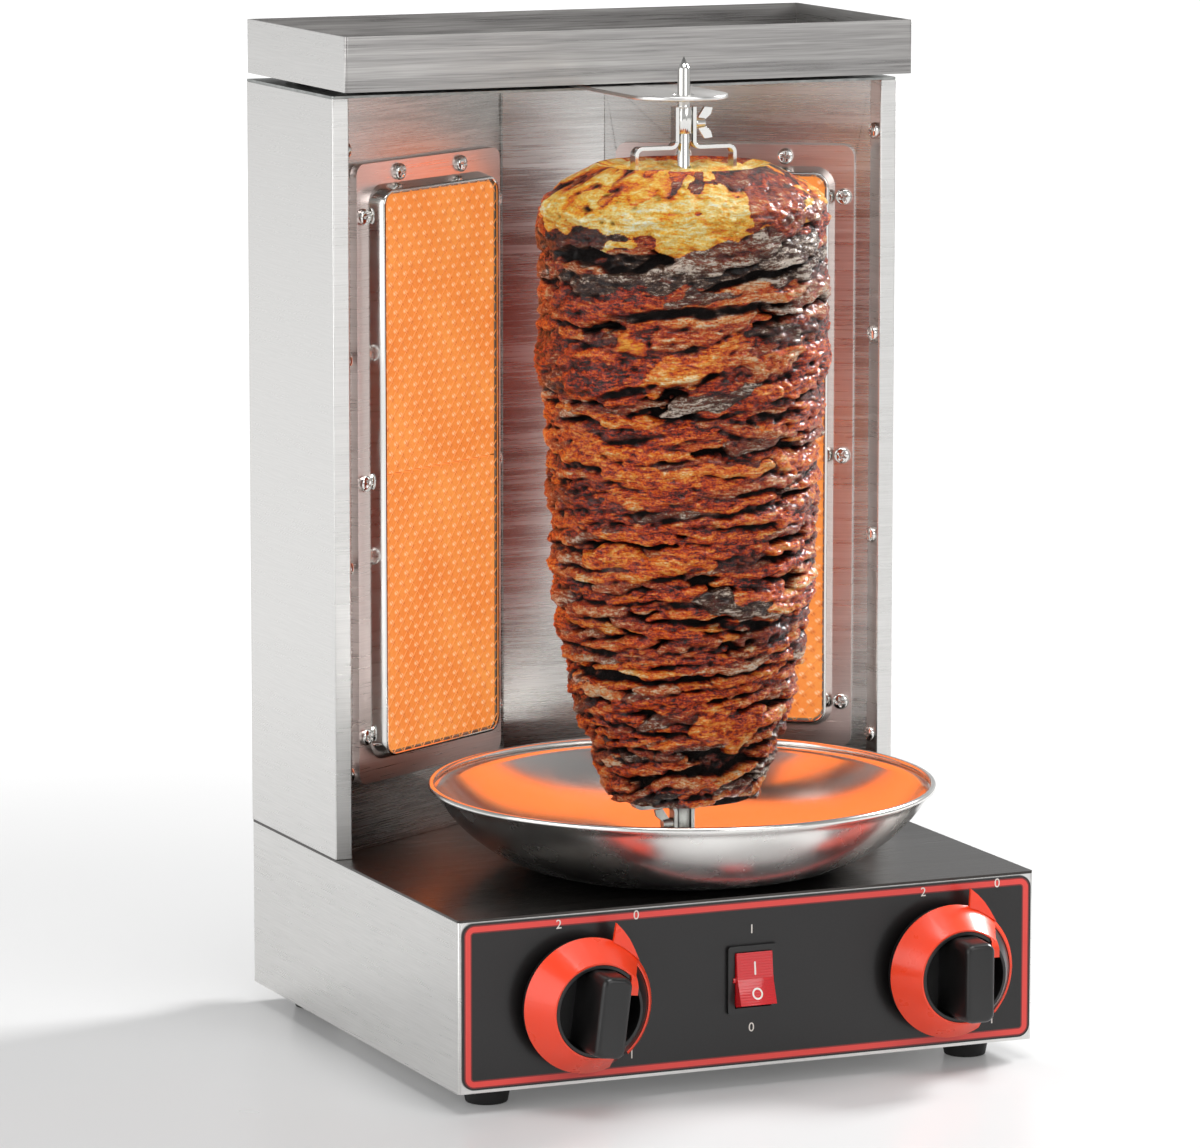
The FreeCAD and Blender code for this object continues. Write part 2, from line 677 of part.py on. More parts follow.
def draw_slot(sketch, middle, level):
    """Draw a level air slot with round ends."""
    half = S.slot_length / 2
    low = level - S.slot_height / 2
    high = level + S.slot_height / 2
    draw_rounded(sketch, middle - half, middle + half, low, high, S.slot_height * 0.49)


def draw_switch_opening(sketch):
    """Draw the opening behind the switch bezel."""
    side = S.switch_half_width - S.switch_shoulder
    end = S.switch_half_height - S.switch_shoulder
    draw_rectangle(sketch, -side, side, switch_z - end, switch_z + end)


def make_base_shell():
    body = new_body("base_shell")

    def ring(level, inset, height):
        sketch = sketch_on(body, "XY_Plane", level)
        draw_rectangle(sketch, -half_width, half_width, front_y, rear_y)
        inner = half_width - inset
        draw_rectangle(sketch, -inner, inner, front_y + inset, rear_y - inset)
        return pad(body, sketch, height)

    ring(S.foot_height, S.shell_flange, wall)
    ring(S.foot_height, wall, S.base_height - wall)
    lip = ring(deck_z - wall * 2, S.shell_lip, wall)
    corners = [(x * half_width.value, y.value) for x in (-1, 1) for y in (front_y, rear_y)]
    round_edges(body, lip, S.corner_round, lambda edge: upright_at(edge, corners))

    front = sketch_on(body, "XZ_Plane", -front_y)
    for offset in knob_offsets.values():
        draw_circle(front, offset, knob_z, S.stem_hole)
    draw_switch_opening(front)
    pierce(body, front, wall)
    back = sketch_on(body, "XZ_Plane", -rear_y)
    draw_circle(back, inlet_x, inlet_z(), S.inlet_radius + S.screw_play)
    draw_circle(back, gland_x, inlet_z(), S.gland_radius + S.screw_play)
    pierce(body, back, wall)
    slots = sketch_on(body, "XZ_Plane", -rear_y)
    for side in (LEFT, RIGHT):
        draw_slot(slots, side * S.base_slot_column, inlet_z() - S.slot_pitch)
    repeat(body, pierce(body, slots, wall), "Z_Axis", S.slot_pitch, S.base_slot_rows)
    flange = sketch_on(body, "XY_Plane", S.foot_height)
    for x, y in foot_spots():
        draw_circle(flange, x, y, hole_radius)
    pierce(body, flange, wall)


def make_deck_plate():
    body = new_body("deck_plate")
    sketch = sketch_on(body, "XY_Plane", deck_z - wall)
    draw_rectangle(sketch, -half_width, half_width, front_y, rear_y)
    plate = pad(body, sketch, wall)
    corners = [(x * half_width.value, y.value) for x in (-1, 1) for y in (front_y, rear_y)]
    round_edges(body, plate, S.corner_round, lambda edge: upright_at(edge, corners))
    holes = sketch_on(body, "XY_Plane", deck_z)
    draw_circle(holes, 0, spit_y, bush_radius + S.screw_play)
    for side in (LEFT, RIGHT):
        x, y = burner_foot(side)
        draw_circle(holes, x, y, S.pipe_radius + S.window_play)
        draw_slot(holes, side * S.base_slot_column, rear_y - S.slot_pitch)
    pierce(body, holes, wall)


def make_bottom_plate():
    body = new_body("bottom_plate")
    sketch = sketch_on(body, "XY_Plane", S.foot_height + wall)
    side = half_width - S.floor_inset
    draw_rectangle(sketch, -side, side, front_y + S.floor_inset, rear_y - S.floor_inset)
    pad(body, sketch, wall)
    holes = sketch_on(body, "XY_Plane", S.foot_height + wall)
    for x, y in foot_spots():
        draw_circle(holes, x, y, hole_radius)
    pierce(body, holes, wall)
    slots = sketch_on(body, "XY_Plane", S.foot_height + wall)
    for x in (LEFT, RIGHT):
        draw_slot(slots, x * S.floor_slot_column, front_y + S.floor_slot_start)
    repeat(body, pierce(body, slots, wall), "Y_Axis", S.floor_slot_pitch, S.slot_rows - 1)


def make_feet():
    top = S.foot_radius
    low = S.foot_radius - S.foot_taper
    recess = S.screw_head + S.window_play
    outline = ((top, 0), (low, -S.foot_height), (recess, -S.foot_height))
    outline += ((recess, -S.foot_recess), (hole_radius, -S.foot_recess), (hole_radius, 0))
    spots = [Vector(x.value, y.value, 0) for x, y in foot_spots()]
    feet = copies(turned_solid(outline), [Placement(spot, Rotation()) for spot in spots])
    add_shape("feet", feet, z=S.foot_height)
    places = screw_places(spots, Vector(0, 0, -1))
    add_shape("base_screws", copies(pan_head_screw(), places), z=S.foot_height - S.foot_recess)


def make_control_panel():
    body = new_body("control_panel")
    sketch = sketch_on(body, "XZ_Plane", -front_y)
    side = half_width - S.panel_inset
    low = S.foot_height + S.panel_inset
    draw_rounded(sketch, -side, side, low, deck_z - S.panel_inset, S.panel_round)
    pad(body, sketch, S.panel_thickness)
    holes = sketch_on(body, "XZ_Plane", -front_y)
    for offset in knob_offsets.values():
        draw_circle(holes, offset, knob_z, S.stem_hole)
    draw_switch_opening(holes)
    pierce(body, holes, S.panel_thickness)


# Housing


def burner_foot(side):
    """Place of a burner's mixing tube, seen from above."""
    run_x = burner_shift * cosine(S.wing_angle) - mouth_depth * sine(S.wing_angle)
    run_y = burner_shift * sine(S.wing_angle) + mouth_depth * cosine(S.wing_angle)
    return side * (wing_x - run_x), wing_y + run_y


def make_side_panel(name, side):
    body = new_body(f"{name}_side_panel")
    back = rear_y - wall
    outline = (
        (half_width - S.rear_flange, back),
        (half_width, back),
        (half_width, housing_y),
        (wing_x, housing_y),
        (wing_x, wing_y),
        (wing_x + wall, wing_y),
        (wing_x + wall, housing_y + wall),
        (half_width - wall, housing_y + wall),
        (half_width - wall, back - wall),
        (half_width - S.rear_flange, back - wall),
    )
    sketch = sketch_on(body, "XY_Plane", deck_z)
    draw_outline(sketch, [(side * x, y) for x, y in outline])
    panel = pad(body, sketch, S.housing_height - wall)
    corners = [(side * half_width.value, housing_y.value), (side * wing_x.value, housing_y.value)]
    round_edges(body, panel, S.corner_round / 2, lambda edge: upright_at(edge, corners))
    cut_wall_screw_holes(body, side, wing_x + wall / 2)
    rear_holes = sketch_on(body, "XZ_Plane", -back)
    for level in rear_screw_levels():
        draw_circle(rear_holes, side * (half_width - S.rear_screw_inset), level, hole_radius)
    pierce(body, rear_holes, wall)


def rear_screw_levels():
    """Heights of the screws along one side of the rear panel."""
    low = deck_z + S.rear_screw_low
    high = housing_z - S.rear_screw_low
    return [low, (low + high) / 2, high]


def make_rear_panel():
    body = new_body("rear_panel")
    sketch = sketch_on(body, "XZ_Plane", -rear_y)
    draw_rectangle(sketch, -half_width, half_width, deck_z, housing_z - wall)
    pad(body, sketch, wall)
    holes = sketch_on(body, "XZ_Plane", -rear_y)
    for side in (LEFT, RIGHT):
        for level in rear_screw_levels():
            draw_circle(holes, side * (half_width - S.rear_screw_inset), level, hole_radius)
    pierce(body, holes, wall)
    slots = sketch_on(body, "XZ_Plane", -rear_y)
    for side in (LEFT, RIGHT):
        draw_slot(slots, side * S.rear_slot_column, housing_z - S.rear_slot_drop)
    repeat(body, pierce(body, slots, wall), "Z_Axis", S.slot_pitch, S.slot_rows)


def make_wing_panel(name, side):
    body = new_body(f"{name}_wing_panel")
    behind = centre_y + wall
    level_wall = wall / cosine(S.wing_angle)
    inner_x = S.centre_half - wall / wing_slope
    back_x = wing_x + (wing_y + level_wall - behind - wall) / wing_slope
    flange_x = wing_x + wall * 2
    outline = (
        (wing_x + wall, housing_y + wall),
        (wing_x + wall, wing_y),
        (wing_x, wing_y),
        (inner_x, behind),
        (inner_x - S.wing_flange, behind),
        (inner_x - S.wing_flange, behind + wall),
        (back_x, behind + wall),
        (flange_x, wing_y + level_wall - wall * 2 * wing_slope),
        (flange_x, housing_y + wall),
    )
    sketch = sketch_on(body, "XY_Plane", deck_z)
    draw_outline(sketch, [(side * x, y) for x, y in outline])
    pad(body, sketch, S.housing_height - wall)
    place = burner_place(side)
    window = sketch_on(body, "XZ_Plane", -place["y"])
    window.AttachmentOffset = Placement(Vector(), Rotation(Vector(0, 1, 0), 1))
    bind(window, "AttachmentOffset.Rotation.Angle", place["turn"])
    bind(window, "AttachmentOffset.Base.x", place["x"])
    bind(window, "AttachmentOffset.Base.y", place["z"])
    bind(window, "AttachmentOffset.Base.z", -place["y"])
    inner = box_half_width + S.window_play
    end = box_half_height + S.window_play
    draw_rectangle(window, -inner, inner, -end, end)
    for x, z in burner_screw_spots():
        draw_circle(window, x, z, hole_radius)
    pierce(body, window, wall)
    cut_wall_screw_holes(body, side, wing_x + wall * 1.5)


def cut_wall_screw_holes(body, side, x):
    """Holes for the screws between a side panel and its burner wall."""
    holes = sketch_on(body, "YZ_Plane", side * x)
    draw_circle(holes, wing_y - S.wall_screw_back, deck_z + S.wall_screw_low, hole_radius)
    repeat(body, cut(body, holes, wall * 2), "Z_Axis", wall_screw_pitch, 4)


def make_wall_screws():
    spots = []
    for side in (LEFT, RIGHT):
        for row in range(4):
            level = deck_z + S.wall_screw_low + wall_screw_pitch * row
            place = Vector(side * wing_x.value, (wing_y - S.wall_screw_back).value, level.value)
            spots += screw_places([place], Vector(-side, 0, 0))
    add_shape("wall_screws", copies(pan_head_screw(), spots))
    spots = []
    for side in (LEFT, RIGHT):
        x = side * (half_width - S.rear_screw_inset)
        spots += [Vector(x.value, rear_y.value, level.value) for level in rear_screw_levels()]
    add_shape("rear_screws", copies(pan_head_screw(), screw_places(spots, Vector(0, 1, 0))))


def make_centre_panel():
    body = new_body("centre_panel")
    side = S.centre_half - wall / wing_slope - S.tile_play
    sketch = sketch_on(body, "XY_Plane", deck_z)
    draw_rectangle(sketch, -side, side, centre_y, centre_y + wall)
    pad(body, sketch, S.housing_height - wall)


def make_top_plate():
    body = new_body("top_plate")
    sketch = sketch_on(body, "XY_Plane", housing_z - wall)
    draw_rectangle(sketch, -half_width, half_width, housing_y, rear_y)
    plate = pad(body, sketch, wall)
    corners = [(x * half_width.value, housing_y.value) for x in (-1, 1)]
    round_edges(body, plate, S.corner_round, lambda edge: upright_at(edge, corners))
    holes = sketch_on(body, "XY_Plane", housing_z)
    for x, y in spacer_spots() + bracket_screw_spots():
        draw_circle(holes, x, y, hole_radius)
    pierce(body, holes, wall)
    slots = sketch_on(body, "XY_Plane", housing_z)
    for side in (LEFT, RIGHT):
        draw_slot(slots, side * S.top_slot_column, rear_y - S.top_slot_back)
    repeat(body, pierce(body, slots, wall), "Y_Axis", S.slot_pitch, 2)


def spacer_spots():
    """Centres of the washers under the cap."""
    x = half_width - S.spacer_inset
    return [(side * x, y) for side in (LEFT, RIGHT)
            for y in (housing_y + S.spacer_front, rear_y - S.spacer_inset)]


def bracket_screw_spots():
    """Screws through cap, bracket and top plate."""
    y = housing_y + S.bracket_screw_back
    return [(side * S.bracket_half / 2, y) for side in (LEFT, RIGHT)]


def make_top_cap():
    body = new_body("top_cap")
    front = housing_y - S.cap_overhang
    sketch = sketch_on(body, "XY_Plane", cap_z)
    draw_rectangle(sketch, -half_width, half_width, front, rear_y)
    block = pad(body, sketch, S.cap_height)
    corners = [(x * half_width.value, y.value) for x in (-1, 1) for y in (front, rear_y)]
    round_edges(body, block, S.corner_round, lambda edge: upright_at(edge, corners))
    hollow = sketch_on(body, "XY_Plane", cap_z + wall + S.cap_height)
    inner = half_width - wall
    draw_rectangle(hollow, -inner, inner, front + wall, rear_y - wall)
    cut(body, hollow, S.cap_height * 2)
    holes = sketch_on(body, "XY_Plane", cap_z)
    for x, y in spacer_spots() + bracket_screw_spots():
        draw_circle(holes, x, y, hole_radius)
    pierce(body, holes, wall)


def make_cap_fixings():
    outline = ((hole_radius, 0), (S.spacer_radius, 0), (S.spacer_radius, S.cap_gap))
    outline += ((hole_radius, S.cap_gap),)
    spots = [Vector(as_size(x).value, y.value, 0) for x, y in spacer_spots()]
    spacers = copies(turned_solid(outline), [Placement(spot, Rotation()) for spot in spots])
    add_shape("cap_spacers", spacers, z=housing_z)
    spots += [Vector(as_size(x).value, y.value, 0) for x, y in bracket_screw_spots()]
    places = screw_places(spots, Vector(0, 0, 1))
    add_shape("cap_screws", copies(pan_head_screw(), places), z=cap_z + wall)


def make_spit_bracket():
    body = new_body("spit_bracket")
    sketch = sketch_on(body, "XY_Plane", housing_z)
    nose_y = spit_y + S.bracket_nose
    tail_y = housing_y + S.bracket_tail
    draw_rectangle(sketch, -S.bracket_half, S.bracket_half, nose_y, tail_y)
    pad(body, sketch, S.bracket_thickness)
    nose = sketch_on(body, "XY_Plane", housing_z)
    draw_circle(nose, 0, nose_y, S.bracket_half)
    pad(body, nose, S.bracket_thickness)
    holes = sketch_on(body, "XY_Plane", housing_z)
    draw_circle(holes, 0, spit_y, S.bracket_hole)
    for x, y in bracket_screw_spots():
        draw_circle(holes, x, y, hole_radius)
    pierce(body, holes, S.bracket_thickness)


# Burners: drawn up in the turned frame of their wall, the middle of a burner at zero


def burner_place(side):
    return {
        "x": side * (wing_x - burner_shift * cosine(S.wing_angle)),
        "y": wing_y + burner_shift * sine(S.wing_angle),
        "z": deck_z + burner_mid,
        "turn": -side * S.wing_angle,
    }


def burner_screw_spots():
    """Screws of a burner's cover plate from the burner's middle."""
    end, across = plate_half_height, plate_half_width - S.burner_screw_inset
    levels = (end - S.burner_screw_high, S.burner_screw_mid, S.burner_screw_low - end)
    spots = [(side * across, z) for side in (LEFT, RIGHT) for z in levels]
    top = end - S.burner_screw_top
    return spots + [(side * S.burner_screw_half, top) for side in (LEFT, RIGHT)]


def make_burner_plate(name, side):
    body = new_body(f"{name}_burner_plate", **burner_place(side))
    half, end, thick = plate_half_width, plate_half_height, wall
    sketch = sketch_on(body, "XZ_Plane")
    draw_rounded(sketch, -half, half, -end, end, S.plate_round)
    pad(body, sketch, S.plate_rise)
    hollow = sketch_on(body, "XZ_Plane")
    inner = S.plate_round - thick
    draw_rounded(hollow, thick - half, half - thick, thick - end, end - thick, inner)
    cut(body, hollow, (S.plate_rise - thick) * 2)
    holes = sketch_on(body, "XZ_Plane", S.plate_rise)
    inner = box_half_width + S.window_play
    top = box_half_height + S.window_play
    draw_rectangle(holes, -inner, inner, -top, top)
    for x, z in burner_screw_spots():
        draw_circle(holes, x, z, hole_radius)
    pierce(body, holes, thick)


def make_burner_bezel(name, side):
    body = new_body(f"{name}_burner_bezel", **burner_place(side))
    thin = S.frame_wall

    def outline(height, inset):
        sketch = sketch_on(body, "XZ_Plane", S.plate_rise + height)
        half = frame_half_width - inset
        end = frame_half_height - inset
        draw_rounded(sketch, -half, half, -end, end, S.frame_round - inset)
        return sketch

    foot = outline(0, 0)
    loft(body, foot, outline(S.frame_height, S.frame_taper))
    doc.recompute()
    hollow = outline(0, thin)
    loft(body, hollow, outline(S.frame_height - thin, S.frame_taper + thin), "Subtractive")
    mouth = outline(S.frame_height, S.frame_taper + S.frame_lip)
    pierce(body, mouth, thin)


def make_burner_net(name, side):
    body = new_body(f"{name}_burner_net", **burner_place(side))
    half = box_half_width - S.tile_play
    end = box_half_height - S.tile_play
    seat = S.tile_thickness - S.ledge_depth
    sketch = sketch_on(body, "XZ_Plane", seat)
    draw_rounded(sketch, -half, half, -end, end, box_round - S.tile_play)
    pad(body, sketch, S.net_thickness)
    pitch_x = (half * 2 - S.net_bar) / S.net_columns
    pitch_z = (end * 2 - S.net_bar) / S.net_rows
    gaps = sketch_on(body, "XZ_Plane", seat)
    for column in range(int(S.net_columns.value)):
        start = pitch_x * column + S.net_bar - half
        draw_rectangle(gaps, start, start + pitch_x - S.net_bar, S.net_bar - end, pitch_z - end)
    row = pierce(body, gaps, S.net_thickness)
    repeat(body, row, "Z_Axis", pitch_z, S.net_rows)


def make_burner_ceramics(name, side):
    half = tile_half_width
    tile = Part.makeBox(
        half.value * 2,
        S.tile_thickness.value,
        tile_length.value,
        Vector(-half.value, (S.ledge_depth - S.tile_thickness).value, (S.tile_joint / 2).value),
    )
    corner = (box_round - wall - S.tile_play).value
    edges = [edge for edge in tile.Edges
             if edge.tangentAt(0).cross(Vector(0, 1, 0)).Length < 0.1
             and edge.CenterOfMass.z > tile_length.value]
    tile = tile.makeFillet(corner, edges)
    turned = Placement(Vector(), Rotation(Vector(0, 1, 0), 180))
    add_shape(f"{name}_burner_ceramics", copies(tile, [Placement(), turned]), **burner_place(side))


def make_burner_box(name, side):
    body = new_body(f"{name}_burner_box", **burner_place(side))
    front = S.tile_thickness - S.ledge_depth
    half, end = box_half_width, box_half_height

    def block(height, inset, length):
        sketch = sketch_on(body, "XZ_Plane", height)
        corner = box_round - inset
        draw_rounded(sketch, inset - half, half - inset, inset - end, end - inset, corner)
        return sketch, length

    pad(body, *block(-S.box_depth, 0, S.box_depth + front))
    flange = sketch_on(body, "XZ_Plane")
    side_reach = half + S.box_flange
    end_reach = end + S.box_end_flange
    draw_rounded(flange, -side_reach, side_reach, -end_reach, end_reach, S.plate_round)
    pad(body, flange, wall)
    cut(body, *block(front, wall, S.tile_thickness * 2))
    cut(body, *block(-S.ledge_depth, wall + S.box_ledge, wall * 4))
    deep = S.box_depth - wall * 2 - S.ledge_depth
    cut(body, *block(wall - S.box_depth + deep / 2, wall, deep))
    holes = sketch_on(body, "XZ_Plane")
    for x, z in burner_screw_spots():
        draw_circle(holes, x, z, hole_radius)
    pierce(body, holes, wall)
    throat = sketch_on(body, "XZ_Plane", -mouth_depth)
    radius, bore = S.throat_radius, S.throat_radius - wall
    low = -end - S.throat_length
    flare = S.throat_radius / 2
    outline = ((bore, wall / 2 - end), (bore, low + flare), (radius, low), (radius + wall, low))
    draw_outline(throat, outline + ((radius, low + flare), (radius, wall / 2 - end)))
    turned = body.newObject("PartDesign::Revolution", f"{name}_throat")
    turned.Profile = throat
    turned.ReferenceAxis = (throat, ["V_Axis"])
    turned.Angle = 360
    port = sketch_on(body, "XY_Plane", -end)
    draw_circle(port, 0, mouth_depth, bore)
    cut(body, port, wall * 3)


def make_burner_screws(name, side):
    spots = [Vector(x.value, -S.plate_rise.value, z.value) for x, z in burner_screw_spots()]
    places = screw_places(spots, Vector(0, -1, 0))
    add_shape(f"{name}_burner_screws", copies(pan_head_screw(), places), **burner_place(side))


def make_gas_pipe(name, side):
    start_y = panel_y + S.panel_thickness + wall + S.valve_length + S.tile_play
    foot_x, foot_y = burner_foot(side)
    knob_x = as_size(knob_offsets[name])
    turn_y = housing_y - S.pipe_bend
    base = deck_z + S.nozzle_height
    stops = ((knob_x, start_y, knob_z), (knob_x, turn_y, knob_z))
    stops += ((foot_x, foot_y, knob_z), (foot_x, foot_y, base))
    points = [Vector(*(as_size(value).value for value in stop)) for stop in stops]
    outer = S.pipe_radius.value
    pipe = tube_along(points, S.pipe_bend.value, outer, outer - S.pipe_wall.value)
    jet = S.pipe_radius / 3
    tip = S.nozzle_height
    nozzle = turned_solid(
        ((jet, 0), (S.nozzle_radius, 0), (S.nozzle_radius, tip / 2), (S.pipe_radius, tip), (jet, tip))
    )
    nozzle.translate(points[-1])
    add_shape(f"{name}_gas_pipe", pipe.fuse(nozzle))


# Gas valves and knobs: drawn up in a frame whose third axis points to the front


def knob_place(name, spin=0.0):
    return {
        "x": knob_offsets[name],
        "y": panel_y,
        "z": knob_z,
        "axis": (1, 0, 0),
        "turn": 90,
        "spin": spin - knob_leans[name].value,
    }


def make_valve(name):
    inside = -S.panel_thickness - wall
    front = inside - S.valve_neck
    plug_back = front - S.plug_length - wall
    back = inside - S.valve_length
    bore = S.plug_radius + S.running_gap
    neck = S.stem_radius + S.window_play
    body = new_body(f"{name}_valve_body", **knob_place(name))
    outline = ((neck, inside), (S.valve_neck, inside), (S.valve_neck, front + wall))
    outline += ((S.valve_radius, front + wall), (S.valve_radius, back), (0, back))
    outline += ((0, plug_back), (bore, plug_back), (bore, front), (neck, front))
    revolve(body, "XZ_Plane", outline, "V_Axis")

    plug = new_body(f"{name}_valve_plug", **knob_place(name))
    slide = S.stem_radius + S.running_gap
    top = front - S.tile_play
    seat = front - S.plug_length + wall
    outline = ((slide, top), (S.plug_radius, top), (S.plug_radius, front - S.plug_length))
    outline += ((0, front - S.plug_length), (0, seat), (slide, seat))
    revolve(plug, "XZ_Plane", outline, "V_Axis")

    stem = new_body(f"{name}_stem", **knob_place(name))
    outline = ((0, seat + S.push_travel + wall), (S.stem_radius, seat + S.push_travel + wall))
    outline += ((S.stem_radius, S.stem_depth), (0, S.stem_depth))
    revolve(stem, "XZ_Plane", outline, "V_Axis")


def make_knob(name):
    body = new_body(f"{name}_knob", **knob_place(name))
    rim = S.crown_radius - S.crown_wall
    outline = (
        (0, S.knob_gap),
        (S.skirt_radius - S.knob_edge, S.knob_gap),
        (S.skirt_radius, S.knob_gap + S.knob_edge),
        (S.skirt_radius, S.skirt_reach),
        (S.crown_radius, S.crown_reach),
        (rim, S.crown_reach),
        (rim - S.knob_edge, S.hollow_reach),
        (0, S.hollow_reach),
    )
    revolve(body, "XZ_Plane", outline, "V_Axis")
    root = sketch_on(body, "XY_Plane", S.hollow_reach - S.knob_edge)
    half, wide = S.grip_length / 2, S.grip_root / 2
    draw_rounded(root, -wide, wide, -half, half, wide / 2)
    top = sketch_on(body, "XY_Plane", S.grip_reach)
    half, wide = S.grip_length / 2 - S.knob_edge, S.grip_width / 2
    draw_rounded(top, -wide, wide, -half, half, wide / 2)
    loft(body, root, top)
    bore = sketch_on(body, "XY_Plane", S.knob_gap)
    draw_circle(bore, 0, 0, S.stem_radius)
    cut(body, bore, (S.stem_depth - S.knob_gap) * 2)


def polar(radius, clockwise):
    """A place on the knob's face by radius and angle clockwise from the top."""
    angle = math.radians(clockwise)
    return Vector(radius * math.sin(angle), radius * math.cos(angle), 0)


def prism(points, low, high):
    """An upright prism over a polygon."""
    path = [Vector(point.x, point.y, low) for point in points]
    return Part.Face(Part.makePolygon(path + path[:1])).extrude(Vector(0, 0, high - low))


def sector(start, sweep, reach, low, high):
    """A wedge that starts at an angle and sweeps on clockwise."""
    steps = max(2, math.ceil(abs(sweep) / SECTOR_STEP))
    arc = [polar(reach, start + sweep * step / steps) for step in range(steps + 1)]
    return prism([Vector()] + arc, low, high)


def make_dial_ring(name):
    skirt, crown = S.skirt_radius.value, S.crown_radius.value
    low, high = S.skirt_reach.value, S.crown_reach.value
    thick = S.ring_wall.value
    gap = S.ring_gap.value
    outline = ((skirt + gap, low), (skirt + thick, low), (crown + thick, high), (crown + gap, high))
    cone = turned_solid(outline)
    start = S.ring_start.value
    wide, base = skirt * 2, 0
    broad = cone.common(sector(start, -S.ring_sweep.value, wide, base, high))
    arc_start, arc_top = start - S.ring_merge.value, low + S.trace_width.value
    trace = cone.common(sector(arc_start, S.trace_sweep.value, wide, base, arc_top))
    reach = S.index_length.value
    width = S.index_width.value
    bar_x = crown * math.sin(math.radians(start)) - width / 2
    bar_y = crown * math.cos(math.radians(start)) + reach / 2
    corners = ((bar_x, bar_y), (bar_x + width, bar_y), (bar_x + width, bar_y - reach))
    corners += ((bar_x, bar_y - reach),)
    index = cone.common(prism([Vector(x, y, 0) for x, y in corners], base, high))
    foot = skirt + S.pointer_foot.value
    tip, nape = S.pointer_angle.value, S.nape_angle.value
    fin = [polar(S.pointer_reach.value, tip), polar(S.belly_radius.value, S.belly_angle.value)]
    fin += [polar(S.nape_radius.value, nape), polar(skirt + thick, start), polar(foot, nape)]
    fin += [polar(foot, (nape + tip) / 2), polar(foot, tip + S.ring_merge.value)]
    pointer = prism(fin, low, low + S.pointer_rise.value)
    ring = broad.fuse([trace, index, pointer]).removeSplitter()
    add_shape(f"{name}_dial_ring", ring, **knob_place(name))


def make_switch():
    place = {"y": panel_y, "z": switch_z}
    body = new_body("switch_housing", **place)
    half, end = S.switch_half_width, S.switch_half_height
    bezel = sketch_on(body, "XZ_Plane")
    draw_rounded(bezel, -half, half, -end, end, S.corner_round)
    pad(body, bezel, S.bezel_reach)
    case = sketch_on(body, "XZ_Plane", -S.switch_depth)
    snug = S.switch_shoulder + S.window_play
    draw_rectangle(case, snug - half, half - snug, snug - end, end - snug)
    pad(body, case, S.switch_depth)
    hollow = sketch_on(body, "XZ_Plane", S.bezel_reach)
    side = S.rocker_half_width + S.rocker_play
    swing = rocker_swing + S.rocker_play
    draw_rectangle(hollow, -side, side, -swing, swing)
    cut(body, hollow, (S.switch_depth + S.bezel_reach - wall * 3) * 2)
    bores = sketch_on(body, "YZ_Plane")
    draw_circle(bores, -S.pivot_reach, 0, S.rocker_pin + S.running_gap)
    cut(body, bores, (side + wall) * 2)

    rocker = new_body("rocker", y=panel_y - S.pivot_reach, z=switch_z, axis=(1, 0, 0), turn=-S.rocker_tilt)
    top = S.rocker_half_height
    face = rocker_face
    tuck = top + S.rocker_play
    back = S.pivot_reach
    outline = ((-face, top), (S.rocker_dish - face, 0), (-face, -top), (back, -tuck))
    outline += ((top / 2, -top / 2), (top / 2, top / 2), (back, tuck))
    block = sketch_on(rocker, "YZ_Plane", -S.rocker_half_width)
    draw_outline(block, outline)
    pad(rocker, block, S.rocker_half_width * 2)
    reach = side + wall - S.rocker_play
    pin = sketch_on(rocker, "YZ_Plane", -reach)
    draw_circle(pin, 0, 0, S.rocker_pin)
    pad(rocker, pin, reach * 2)


# Drive


def on_spit(label, **more):
    return new_body(label, y=spit_y, z=deck_z, **more)


